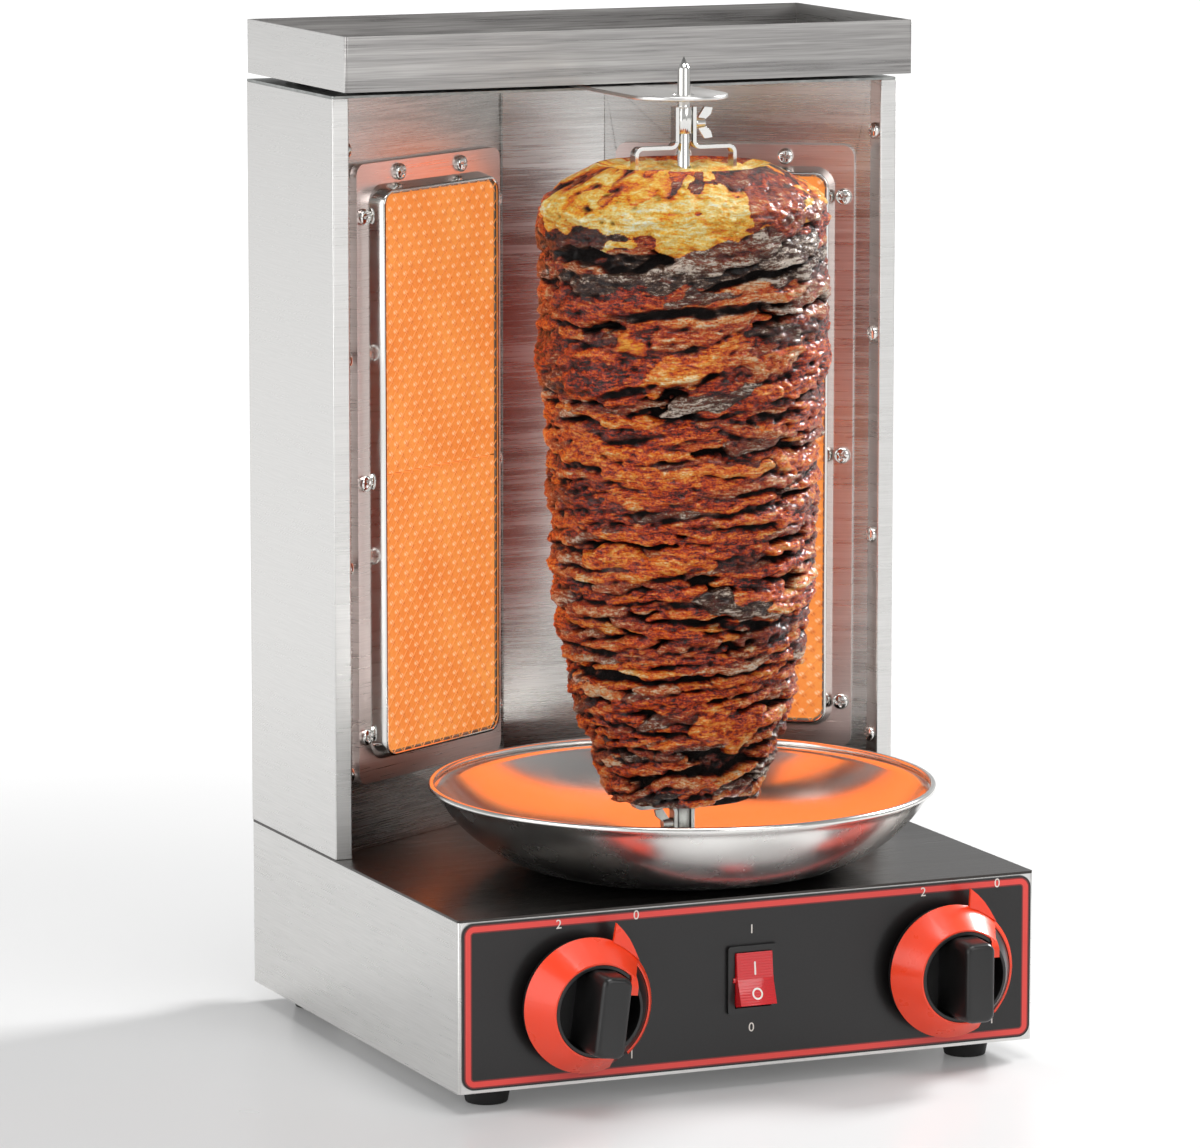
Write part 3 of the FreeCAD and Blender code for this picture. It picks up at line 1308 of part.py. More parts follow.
def make_drive():
    web = -S.motor_drop
    boss_top = -S.socket_drop - S.boss_gap
    bore = S.shaft_radius + S.running_gap
    motor = on_spit("gearmotor")
    low = web - S.motor_height
    outline = ((bore, boss_top), (S.motor_boss, boss_top), (S.motor_boss, web))
    outline += ((S.motor_radius, web), (S.motor_radius, low), (0, low), (0, low + wall), (bore, low + wall))
    revolve(motor, "XZ_Plane", outline, "V_Axis")

    shaft = on_spit("motor_shaft")
    outline = ((0, low + wall * 2), (S.shaft_radius, low + wall * 2), (S.shaft_radius, 0), (0, 0))
    revolve(shaft, "XZ_Plane", outline, "V_Axis")

    mount = on_spit("motor_mount")
    thick = wall
    leg = S.mount_half - S.mount_foot
    outline = (
        (-S.mount_half, -wall), (-leg, -wall), (-leg, web + thick), (leg, web + thick),
        (leg, -wall), (S.mount_half, -wall), (S.mount_half, -wall - thick),
        (leg + thick, -wall - thick), (leg + thick, web), (-leg - thick, web),
        (-leg - thick, -wall - thick), (-S.mount_half, -wall - thick),
    )
    sketch = sketch_on(mount, "XZ_Plane", -S.mount_width / 2)
    draw_outline(sketch, outline)
    pad(mount, sketch, S.mount_width)
    hole = sketch_on(mount, "XY_Plane", web)
    draw_circle(hole, 0, 0, S.motor_boss + S.screw_play)
    pierce(mount, hole, thick)

    bush = on_spit("deck_bush")
    bore = S.socket_radius + S.running_gap
    outline = ((bore, thick), (bush_radius + S.bush_flange, thick), (bush_radius + S.bush_flange, 0))
    outline += ((bush_radius, 0), (bush_radius, -wall * 3), (bore, -wall * 3))
    revolve(bush, "XZ_Plane", outline, "V_Axis")

    cup = on_spit("drive_socket")
    outline = ((S.shaft_radius, -S.socket_drop), (S.socket_radius, -S.socket_drop))
    outline += ((S.socket_radius, S.socket_top - S.socket_edge),)
    outline += ((S.socket_radius - S.socket_edge, S.socket_top),)
    outline += ((0, S.socket_top), (0, 0), (S.shaft_radius, 0))
    revolve(cup, "XZ_Plane", outline, "V_Axis")
    slot = sketch_on(cup, "XY_Plane", S.socket_top)
    side, end = S.spit_radius + S.tang_play, S.tang_half + S.tang_play
    draw_rectangle(slot, -side, side, -end, end)
    cut(cup, slot, (S.tang_depth + S.tang_spare) * 2)


def make_spit_rod():
    body = on_spit("spit_rod")
    shoulder = S.socket_top + S.running_gap
    outline = ((0, shoulder), (S.spit_radius, shoulder), (S.spit_radius, spit_top - S.spit_point))
    outline += ((0, spit_top),)
    revolve(body, "XZ_Plane", outline, "V_Axis")
    tang = sketch_on(body, "XY_Plane", S.socket_top - S.tang_depth)
    side = S.spit_radius - S.tang_play
    draw_rectangle(tang, -side, side, -S.tang_half, S.tang_half)
    pad(body, tang, S.tang_depth + S.tang_spare)


def make_fork(name, collar_low, arm_low, clamp_rise, up):
    """Two bent strips welded to a collar on the spit, each ending in a prong."""
    thick, half = S.prong_thickness.value, S.prong_width.value / 2
    reach, bend = S.prong_reach.value - S.prong_thickness.value / 2, S.prong_bend.value
    low = arm_low.value
    tip = low + up * S.prong_length.value
    arm = low + thick / 2
    root = (S.collar_radius - S.weld_depth).value + thick / 2
    end = collar_low.value if up > 0 else (collar_low + S.collar_height).value
    path = bent_path([Vector(root, 0, end), Vector(root, 0, arm), Vector(reach, 0, arm),
                      Vector(reach, 0, tip)], bend)
    inner, outer = root - thick / 2, root + thick / 2
    corners = ((inner, -half), (outer, -half), (outer, half), (inner, half))
    profile = Part.makePolygon([Vector(x, y, end) for x, y in corners + corners[:1]])
    strip = swept(path, profile)
    other = strip.mirror(Vector(0, 0, 0), Vector(1, 0, 0))
    collar = Part.makeCylinder(S.collar_radius.value, S.collar_height.value,
                               Vector(0, 0, collar_low.value))
    bore = Part.makeCylinder((S.spit_radius + S.running_gap).value, spit_top.value)
    clamp = (S.clamp_shank + S.running_gap).value
    level = (collar_low + clamp_rise).value
    thread = Part.makeCylinder(clamp, reach / 2, Vector(0, 0, level), Vector(-up, 0, 0))
    fork = strip.fuse([other, collar]).cut(bore).cut(thread).removeSplitter()
    add_shape(f"{name}_fork", fork, y=spit_y, z=deck_z)


def make_wing_screw(name, level, up):
    """A wing screw with two raised wings, pressing on the spit."""
    start = (S.spit_radius + S.tang_play).value
    hub_start = (S.collar_radius - S.weld_depth + S.prong_thickness + S.tile_play).value
    hub, tip = S.clamp_hub.value, S.clamp_wing.value
    end = hub_start + S.clamp_length.value
    outline = ((0, start), (S.clamp_shank, start), (S.clamp_shank, hub_start), (hub, hub_start))
    solid = turned_solid(outline + ((S.clamp_crown, end), (0, end)))
    thick = S.prong_thickness.value
    base, crown = hub_start + S.wing_base.value, S.clamp_crown.value
    wing = [Vector(0, 0, base), Vector(hub, 0, base), Vector(tip, 0, end),
            Vector(tip - S.wing_blunt.value, 0, base + S.wing_tip.value),
            Vector(hub + crown / 2, 0, base + S.wing_heel.value), Vector(0, 0, (base + end) / 2)]
    face = Part.Face(Part.makePolygon(wing + wing[:1]))
    blade = face.extrude(Vector(0, thick, 0))
    blade.translate(Vector(0, -thick / 2, 0))
    other = blade.mirror(Vector(0, 0, 0), Vector(1, 0, 0))
    screw = solid.fuse([blade, other]).removeSplitter()
    add_shape(f"{name}_wing_screw", screw, y=spit_y, z=deck_z + level, axis=(0, 1, 0), turn=-up * 90)


def make_meat():
    """Slices heaped on the spit: a swelling outline with a groove between layers."""
    low, top = S.meat_foot.value, meat_top.value
    control = (
        (S.meat_foot_radius, 0),
        (S.meat_low_radius, 0.15),
        (S.meat_waist_radius, 0.32),
        (S.meat_chest_radius, 0.63),
        (S.meat_shoulder_radius, 0.88),
        (S.meat_brow_radius, 0.94),
        (S.meat_crown_radius, 1),
    )
    curve = Part.BSplineCurve()
    curve.interpolate([Vector(r.value, 0, low + (top - low) * share) for r, share in control])
    count = int(S.meat_layers.value)
    outline = [Vector(0, 0, top), Vector(0, 0, low)]
    first, last = curve.FirstParameter, curve.LastParameter
    groove = S.meat_groove.value
    for layer in range(count * 2 + 1):
        spot = curve.value(first + (last - first) * layer / (count * 2))
        shrink = 0 if layer % 2 else groove
        outline.append(Vector(spot.x - shrink, 0, spot.z))
    body = Part.Face(Part.makePolygon(outline + outline[:1]))
    meat = body.revolve(Vector(0, 0, 0), Vector(0, 0, 1), 360)
    play = S.meat_play.value
    meat = meat.cut(Part.makeCylinder(S.spit_radius.value + play, top * 2))
    reach, thick = S.prong_reach.value, S.prong_thickness.value
    wide = S.prong_width.value + play * 2
    deep = S.prong_length + S.fork_travel - S.fork_gap + S.prong_thickness + S.slot_spare
    deep = deep.value + play
    for side in (LEFT, RIGHT):
        inner = side * reach - (thick + play if side > 0 else play)
        for start in (low - 1, top - deep):
            slot = Part.makeBox(thick + play * 2, wide, deep + 1, Vector(inner, -wide / 2, start))
            meat = meat.cut(slot)
    add_shape("meat", meat, y=spit_y, z=deck_z)


def make_drip_pan():
    """A spun pan: flat floor, round flank, rolled rim and a collar in the middle."""
    bead = S.pan_bead.value
    rim_r, rim_z = S.pan_radius.value - bead, S.pan_height.value - bead
    flat, thin = S.pan_flat.value, S.pan_wall.value
    radius = ((rim_r - flat) ** 2 + rim_z ** 2) / (2 * rim_z)
    centre = Vector(flat, 0, radius)
    out = (Vector(rim_r, 0, rim_z) - centre).normalize()
    middle = (out + Vector(0, 0, -1)).normalize()
    outer = Part.Arc(Vector(flat, 0, 0), centre + middle * radius, centre + out * radius)
    small = radius - thin
    inner = Part.Arc(centre + out * small, centre + middle * small, Vector(flat, 0, thin))
    hole, rise = S.chimney_radius.value, S.chimney_height.value
    corners = [Vector(flat, 0, thin), Vector(hole + thin, 0, thin), Vector(hole + thin, 0, rise),
               Vector(hole, 0, rise), Vector(hole, 0, 0), Vector(flat, 0, 0)]
    edges = [outer.toShape(), Part.makeLine(centre + out * radius, centre + out * small)]
    edges += [inner.toShape()] + [Part.makeLine(a, b) for a, b in zip(corners, corners[1:])]
    sheet_face = Part.Face(Part.Wire(edges))
    sheet_metal = sheet_face.revolve(Vector(0, 0, 0), Vector(0, 0, 1), 360)
    roll = Part.makeTorus(rim_r, bead, Vector(0, 0, rim_z), Vector(0, 0, 1))
    add_shape("drip_pan", sheet_metal.fuse(roll).removeSplitter(), y=spit_y, z=deck_z)


# Gas feed and mains entry


def make_manifold():
    back_y = rear_y - wall - S.tile_play
    low = knob_z - S.manifold_drop
    run_y = panel_y + S.manifold_depth
    x = inlet_x
    far = knob_offsets["right"] + S.valve_radius
    drop_y = rear_y - S.manifold_drop * 2
    stops = ((x, back_y, inlet_z()), (x, drop_y + S.manifold_drop, inlet_z()), (x, drop_y, low))
    stops += ((x, run_y, low), (far, run_y, low))
    points = [Vector(*(as_size(value).value for value in stop)) for stop in stops]
    outer = S.manifold_radius.value
    pipe = tube_along(points, S.manifold_bend.value, outer, outer - S.pipe_wall.value)
    cap = Part.makeCylinder(outer, S.pipe_wall.value, points[-1], Vector(1, 0, 0))
    stubs = []
    for offset in knob_offsets.values():
        start = Vector(as_size(offset).value, run_y.value, (low + S.manifold_radius - S.stub_sink).value)
        height = (knob_z - S.valve_radius - S.tile_play).value - start.z
        stubs.append(Part.makeCylinder(S.pipe_radius.value, height, start))
    add_shape("manifold_pipe", pipe.fuse([cap] + stubs).removeSplitter())


def make_rear_fittings():
    inlet = new_body("gas_inlet", x=inlet_x, y=rear_y, z=inlet_z(), axis=(1, 0, 0), turn=-90)
    reach = S.inlet_reach
    nut = sketch_on(inlet, "XY_Plane")
    draw_hexagon(nut, 0, 0, S.inlet_hex)
    pad(inlet, nut, S.hex_thickness)
    thread = S.inlet_radius
    outline = ((S.inlet_bore, -wall), (thread, -wall), (thread, reach - S.thread_edge))
    outline += ((thread - S.thread_edge, reach),)
    revolve(inlet, "XZ_Plane", outline + ((S.inlet_bore, reach),), "V_Axis")
    hole = sketch_on(inlet, "XY_Plane")
    draw_circle(hole, 0, 0, S.inlet_bore)
    cut(inlet, hole, reach * 3)

    gland = new_body("cable_gland", x=gland_x, y=rear_y, z=inlet_z(), axis=(1, 0, 0), turn=-90)
    nut = sketch_on(gland, "XY_Plane")
    draw_hexagon(nut, 0, 0, S.gland_hex)
    pad(gland, nut, S.hex_thickness * 2)
    thread, end = S.gland_radius, S.gland_reach
    outline = ((S.gland_bore, -wall * 5), (thread, -wall * 5), (thread, end - S.gland_edge))
    outline += ((S.gland_mouth, end), (S.gland_bore, end))
    revolve(gland, "XZ_Plane", outline, "V_Axis")
    hole = sketch_on(gland, "XY_Plane")
    draw_circle(hole, 0, 0, S.gland_bore)
    cut(gland, hole, end * 4)


make_base_shell()
make_deck_plate()
make_bottom_plate()
make_feet()
make_control_panel()
for name, side in SIDES:
    make_side_panel(name, side)
    make_wing_panel(name, side)
    make_burner_plate(name, side)
    make_burner_bezel(name, side)
    make_burner_net(name, side)
    make_burner_ceramics(name, side)
    make_burner_box(name, side)
    make_burner_screws(name, side)
    make_gas_pipe(name, side)
    make_valve(name)
    make_knob(name)
    make_dial_ring(name)
make_rear_panel()
make_centre_panel()
make_wall_screws()
make_top_plate()
make_top_cap()
make_cap_fixings()
make_spit_bracket()
make_switch()
make_drive()
make_spit_rod()
make_fork("upper", upper_collar, meat_top + S.fork_gap, S.upper_clamp_rise, -1)
make_fork("lower", S.lower_collar, lower_arm, S.lower_clamp_rise, 1)
make_wing_screw("upper", upper_collar + S.upper_clamp_rise, -1)
make_wing_screw("lower", S.lower_collar + S.lower_clamp_rise, 1)
make_meat()
make_drip_pan()
make_manifold()
make_rear_fittings()
doc.recompute()

# Nothing is written unless every piece is sound

problems = []
for item in doc.Objects:
    if "Invalid" in item.State or "Error" in item.State:
        problems.append(f"{item.Label}: {item.State}")
for piece in made:
    if piece.Shape.isNull() or not piece.Shape.isValid():
        problems.append(f"{piece.Label}: shape is null or not valid")
if problems:
    raise RuntimeError("; ".join(problems))

os.makedirs("parts", exist_ok=True)
for piece in made:
    piece.Shape.exportStep(f"parts/{piece.Label}.step")
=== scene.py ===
"""Looks of a tabletop gas grill with an upright spit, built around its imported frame.

Lengths are metres in the frame's own axes: X to the right, Y to the back, Z up.
"""

import logging
import math
from dataclasses import dataclass, field, fields, replace
from enum import Enum
from typing import Iterable, Sequence

import bmesh
import bpy
import numpy as np
from mathutils import Matrix, Vector, noise


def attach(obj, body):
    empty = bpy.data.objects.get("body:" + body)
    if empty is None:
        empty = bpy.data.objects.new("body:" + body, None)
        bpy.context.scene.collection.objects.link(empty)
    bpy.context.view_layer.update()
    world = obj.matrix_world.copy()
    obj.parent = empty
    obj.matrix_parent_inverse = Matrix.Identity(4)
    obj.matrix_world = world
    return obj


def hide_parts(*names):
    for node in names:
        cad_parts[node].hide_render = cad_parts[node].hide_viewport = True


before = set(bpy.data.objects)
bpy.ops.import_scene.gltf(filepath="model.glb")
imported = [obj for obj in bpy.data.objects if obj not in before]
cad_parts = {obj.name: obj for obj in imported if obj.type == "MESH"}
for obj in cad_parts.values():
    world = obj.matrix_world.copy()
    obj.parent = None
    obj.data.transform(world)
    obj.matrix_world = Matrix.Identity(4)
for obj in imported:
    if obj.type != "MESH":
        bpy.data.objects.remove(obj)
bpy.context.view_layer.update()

log = logging.getLogger("grill")
MM = 0.001
SPIT_Y = -0.0425
DECK_Z = 0.093
PANEL_Y = -0.1235
WHITE = "#ffffff"
SIDEWAYS = 0.9
Point = tuple[float, float, float]
Flat = tuple[float, float]
Mesh = tuple[np.ndarray, list]


class Side(Enum):
    """Left or right half of the grill, seen from the front."""

    LEFT = -1
    RIGHT = 1

    @property
    def prefix(self) -> str:
        """The word that names of this side start with."""
        return self.name.lower()


class Grain(Enum):
    """Share of a brushed pattern's pace along X, Y and Z."""

    LEVEL = (1 / 49, 1 / 49, 1.0)
    ALONG_X = (1 / 49, 1.0, 1.0)


# Colour and nodes


def linear(hex_colour: str) -> tuple[float, float, float, float]:
    """Turn an sRGB colour into the linear values that shaders take.

    Args:
        hex_colour: Six hexadecimal digits after a hash sign.

    Returns:
        Linear red, green, blue and full alpha.
    """
    channels = [int(hex_colour[i : i + 2], 16) / 255 for i in (1, 3, 5)]
    values = [c / 12.92 if c <= 0.04045 else ((c + 0.055) / 1.055) ** 2.4 for c in channels]
    return (*values, 1.0)


@dataclass(frozen=True)
class Wire:
    """A node's output that takes part in sums."""

    graph: "Graph"
    socket: bpy.types.NodeSocket

    def __add__(self, other: "Wire | float") -> "Wire":
        """Add."""
        return self.graph.math("ADD", self, other)

    def __sub__(self, other: "Wire | float") -> "Wire":
        """Take away."""
        return self.graph.math("SUBTRACT", self, other)

    def __rsub__(self, other: float) -> "Wire":
        """Take away from a number."""
        return self.graph.math("SUBTRACT", other, self)

    def __mul__(self, other: "Wire | float") -> "Wire":
        """Multiply."""
        return self.graph.math("MULTIPLY", self, other)

    def __truediv__(self, other: float) -> "Wire":
        """Divide."""
        return self.graph.math("DIVIDE", self, other)

    def __abs__(self) -> "Wire":
        """Leave the sign out."""
        return self.graph.math("ABSOLUTE", self)


class Graph:
    """A node tree that is built from its first node to its last."""

    def __init__(self, tree: bpy.types.NodeTree) -> None:
        """Start with an empty tree.

        Args:
            tree: The tree of a material, a world or a modifier.
        """
        tree.nodes.clear()
        self.tree = tree

    def add(self, kind: str, inputs: dict | None = None, **settings) -> bpy.types.Node:
        """Add one node.

        Args:
            kind: The node's type.
            inputs: Inputs by name or number, each given a value, a wire or a socket.
            settings: Properties of the node itself.

        Returns:
            The new node.
        """
        made = self.tree.nodes.new(kind)
        for key, value in settings.items():
            setattr(made, key, value)
        for key, value in (inputs or {}).items():
            value = value.socket if isinstance(value, Wire) else value
            if isinstance(value, bpy.types.NodeSocket):
                self.tree.links.new(value, made.inputs[key])
            else:
                made.inputs[key].default_value = value
        return made

    def out(self, kind: str, inputs: dict | None = None, output: int | str = 0, **settings) -> Wire:
        """Add one node and give one of its outputs.

        Args:
            kind: The node's type.
            inputs: Inputs as for add.
            output: The output's name or number.
            settings: Properties of the node itself.

        Returns:
            The output.
        """
        return Wire(self, self.add(kind, inputs, **settings).outputs[output])

    def math(self, operation: str, *values: Wire | float, clamp: bool = False) -> Wire:
        """Work out a sum of one or two values, kept between 0 and 1 when clamped."""
        return self.out("ShaderNodeMath", dict(enumerate(values)), operation=operation, use_clamp=clamp)

    def length(self, first: Wire, second: Wire) -> Wire:
        """Length of a flat vector."""
        return self.math("SQRT", first * first + second * second)

    def axis(self, vector: Wire, letter: str) -> Wire:
        """One axis of a vector."""
        return self.out("ShaderNodeSeparateXYZ", {0: vector}, letter)

    def place(self, scale: Point = (1.0, 1.0, 1.0)) -> Wire:
        """The object's own coordinates, scaled."""
        source = self.out("ShaderNodeTexCoord", output="Object")
        return self.out("ShaderNodeMapping", {"Vector": source, "Scale": scale})

    def noise(self, vector: Wire, scale: float, detail: float = 3.0, rough: float = 0.5) -> Wire:
        """Add a noise pattern with values near one half.

        Args:
            vector: Where it is read.
            scale: Its repeats per metre.
            detail: Its octaves.
            rough: How strong the finer octaves are.

        Returns:
            The noise.
        """
        inputs = {"Vector": vector, "Scale": scale, "Detail": detail, "Roughness": rough}
        return self.out("ShaderNodeTexNoise", inputs)

    def ramp(self, value: Wire, stops: Sequence[tuple[float, str]]) -> Wire:
        """Map a value to colours, given as places between 0 and 1 with their colours."""
        made = self.add("ShaderNodeValToRGB", {0: value})
        elements = made.color_ramp.elements
        while len(elements) < len(stops):
            elements.new(0.5)
        for element, (spot, colour) in zip(elements, stops):
            element.position = spot
            element.color = linear(colour)
        return Wire(self, made.outputs[0])

    def between(self, value: Wire, start: float, end: float, low: float = 0.0, high: float = 1.0) -> Wire:
        """Stretch a value's range, from start and end to low and high."""
        return self.out("ShaderNodeMapRange", {0: value, 1: start, 2: end, 3: low, 4: high})

    def spread(self, value: Wire, low: float, high: float) -> Wire:
        """Stretch a noise's middle range to two limits."""
        return self.between(value, 0.3, 0.7, low, high)

    def mix(self, share: Wire, first: Wire | tuple, second: Wire | tuple) -> Wire:
        """Mix two colours, with a share of the second one."""
        return self.out("ShaderNodeMix", {0: share, 6: first, 7: second}, 2, data_type="RGBA")


class Surface(Graph):
    """A material's node tree."""

    def __init__(self, name: str) -> None:
        """Start an empty material.

        Args:
            name: The real material's name.
        """
        self.material = bpy.data.materials.new(name)
        self.material.use_nodes = True
        super().__init__(self.material.node_tree)

    def bump(self, height: Wire, distance: float, strength: float = 1.0, **under: Wire) -> Wire:
        """Add fine relief.

        Args:
            height: The relief.
            distance: Its full height in metres.
            strength: How much of it counts.
            under: The relief that it lies on, as Normal.

        Returns:
            The normal.
        """
        inputs = {"Height": height, "Distance": distance, "Strength": strength, **under}
        return self.out("ShaderNodeBump", inputs)

    def finish(self, **inputs: Wire | float | tuple) -> bpy.types.Material:
        """Close the material with its surface shader.

        Args:
            inputs: The shader's inputs, with underscores for spaces.

        Returns:
            The finished material.
        """
        named = {key.replace("_", " "): value for key, value in inputs.items()}
        shader = self.out("ShaderNodeBsdfPrincipled", named)
        self.add("ShaderNodeOutputMaterial", {"Surface": shader})
        return self.material


# Finishes


@dataclass(frozen=True)
class BrushedSteel:
    """Cold-rolled stainless sheet with a ground grain."""

    name: str = "stainless steel, ground"
    colour: str = "#dbdad8"
    dark: str = "#cfcecc"
    roughness: float = 0.3
    grain: Grain = Grain.LEVEL
    streak: float = 0.35
    depth: float = 0.2
    fine_per_metre: float = 1600.0
    coarse_per_metre: float = 130.0
    scratch: float = 0.00002

    def build(self) -> bpy.types.Material:
        """Make the material."""
        g = Surface(self.name)
        place = g.place(self.grain.value)
        fine = g.noise(place, self.fine_per_metre, 2.0)
        coarse = g.noise(place, self.coarse_per_metre, 4.0, 0.65)
        both = coarse * self.streak + fine * (1.0 - self.streak)
        return g.finish(
            Base_Color=g.ramp(both, ((0.36, self.dark), (0.62, self.colour))),
            Metallic=1.0,
            Roughness=g.spread(both, self.roughness - 0.06, self.roughness + 0.08),
            Anisotropic=0.55,
            Anisotropic_Rotation=0.25,
            Tangent=g.out("ShaderNodeTangent", direction_type="RADIAL", axis="Z"),
            Normal=g.bump(fine, self.scratch, self.depth),
        )


@dataclass(frozen=True)
class PolishedSteel:
    """Smooth stainless steel with a few rubbed marks."""

    name: str = "stainless steel, polished"
    colour: str = "#dcdbd8"
    roughness: float = 0.09
    haze_per_metre: float = 60.0

    def build(self) -> bpy.types.Material:
        """Make the material."""
        g = Surface(self.name)
        haze = g.noise(g.place(), self.haze_per_metre, 4.0)
        rough = g.spread(haze, self.roughness * 0.7, self.roughness * 1.6)
        return g.finish(Base_Color=linear(self.colour), Metallic=1.0, Roughness=rough)


@dataclass(frozen=True)
class SpunSteel:
    """Spun steel: buffed on the faces that look up, satin on those that look down."""

    name: str = "stainless steel, spun and buffed"
    colour: str = "#e2e1de"
    buffed: float = 0.17
    satin: float = 0.25
    haze_per_metre: float = 60.0

    def build(self) -> bpy.types.Material:
        """Make the material."""
        g = Surface(self.name)
        up = g.axis(g.out("ShaderNodeNewGeometry", output="Normal"), "Z")
        side = g.between(up, -0.1, 0.1, self.satin, self.buffed)
        haze = g.noise(g.place(), self.haze_per_metre, 4.0)
        rough = side * g.spread(haze, 0.85, 1.2)
        return g.finish(Base_Color=linear(self.colour), Metallic=1.0, Roughness=rough)


@dataclass(frozen=True)
class PlainMetal:
    """Cast, galvanised or turned metal that is mostly hidden."""

    name: str
    colour: str
    dark: str
    roughness: float
    cloud_per_metre: float = 180.0
    relief: float = 0.00005

    def build(self) -> bpy.types.Material:
        """Make the material."""
        g = Surface(self.name)
        cloud = g.noise(g.place(), self.cloud_per_metre, 5.0)
        return g.finish(
            Base_Color=g.ramp(cloud, ((0.35, self.dark), (0.65, self.colour))),
            Metallic=1.0,
            Roughness=g.spread(cloud, self.roughness - 0.05, self.roughness + 0.08),
            Normal=g.bump(cloud, self.relief, 0.4),
        )


@dataclass(frozen=True)
class Moulded:
    """Moulded plastic or rubber with a fine spark-eroded grain."""

    name: str
    colour: str
    roughness: float
    ior: float = 1.5
    relief: float = 0.00002
    coat: float = 0.0
    see_through: float = 0.0
    grain_per_metre: float = 2600.0
    cloud_per_metre: float = 90.0

    def build(self) -> bpy.types.Material:
        """Make the material."""
        g = Surface(self.name)
        grain = g.noise(g.place(), self.grain_per_metre, 2.0)
        cloud = g.noise(g.place(), self.cloud_per_metre, 3.0)
        return g.finish(
            Base_Color=linear(self.colour),
            Roughness=g.spread(cloud, self.roughness - 0.04, self.roughness + 0.05),
            IOR=self.ior,
            Coat_Weight=self.coat,
            Coat_Roughness=0.08,
            Subsurface_Weight=self.see_through,
            Subsurface_Radius=(1.0, 0.2, 0.1),
            Subsurface_Scale=0.002,
            Normal=g.bump(grain, self.relief, 0.5),
        )


@dataclass(frozen=True)
class PrintedPanel:
    """Black lacquered steel with a printed border line."""

    name: str = "steel, black lacquer with a red border"
    black: str = "#0b0909"
    dust: str = "#2a2425"
    red: str = "#e0433c"
    edge: str = "#7a1f1c"
    half_width: float = 0.1483
    half_height: float = 0.0398
    mid_height: float = 0.0515
    corner: float = 0.006
    inset: float = 0.0028
    line: float = 0.0026
    edge_width: float = 0.0006

    def build(self) -> bpy.types.Material:
        """Make the material."""
        g = Surface(self.name)
        flat = []
        for letter, middle, half in (("X", 0.0, self.half_width), ("Z", self.mid_height, self.half_height)):
            flat.append(abs(g.axis(g.place(), letter) - middle) - (half - self.corner))
        far = g.length(*(g.math("MAXIMUM", value, 0.0) for value in flat))
        near = g.math("MINIMUM", g.math("MAXIMUM", *flat), 0.0)
        off = abs(far + near - self.corner + self.inset)
        core = g.math("LESS_THAN", off, self.line / 2)
        rim = g.math("LESS_THAN", off, self.line / 2 + self.edge_width)
        dust = g.spread(g.noise(g.place(), 900.0, 3.0), 0.0, 0.12)
        base = g.mix(dust, linear(self.black), linear(self.dust))
        lined = g.mix(rim, base, linear(self.edge))
        return g.finish(Base_Color=g.mix(core, lined, linear(self.red)), Roughness=0.36, IOR=1.5,
                        Coat_Weight=0.1, Coat_Roughness=0.15)


@dataclass(frozen=True)
class RockerLens:
    """Clear red plastic with a moulded white bar and ring."""

    name: str = "polycarbonate, red with white marks"
    colour: str = "#d3121c"
    white: str = "#f3ece6"
    middle: float = 0.053
    bar_rise: float = 0.0058
    bar_half: float = 0.0028
    ring_drop: float = 0.0060
    ring_radius: float = 0.0023
    stroke: float = 0.00042
    rib_pitch: float = 0.0013
    rib_depth: float = 0.0001

    def build(self) -> bpy.types.Material:
        """Make the material."""
        g = Surface(self.name)
        x, z = g.axis(g.place(), "X"), g.axis(g.place(), "Z")
        past = g.math("MAXIMUM", abs(z - (self.middle + self.bar_rise)) - self.bar_half, 0.0)
        bar = g.length(x, past)
        ring = abs(g.length(x, z - (self.middle - self.ring_drop)) - self.ring_radius)
        mark = g.math("LESS_THAN", g.math("MINIMUM", bar, ring), self.stroke)
        ribs = g.math("SINE", z * (2 * math.pi / self.rib_pitch))
        return g.finish(
            Base_Color=g.mix(mark, linear(self.colour), linear(self.white)),
            Roughness=0.16,
            IOR=1.58,
            Coat_Weight=0.5,
            Coat_Roughness=0.05,
            Subsurface_Weight=0.2,
            Subsurface_Radius=(1.0, 0.2, 0.1),
            Subsurface_Scale=0.002,
            Normal=g.bump(ribs, self.rib_depth, 0.25),
        )


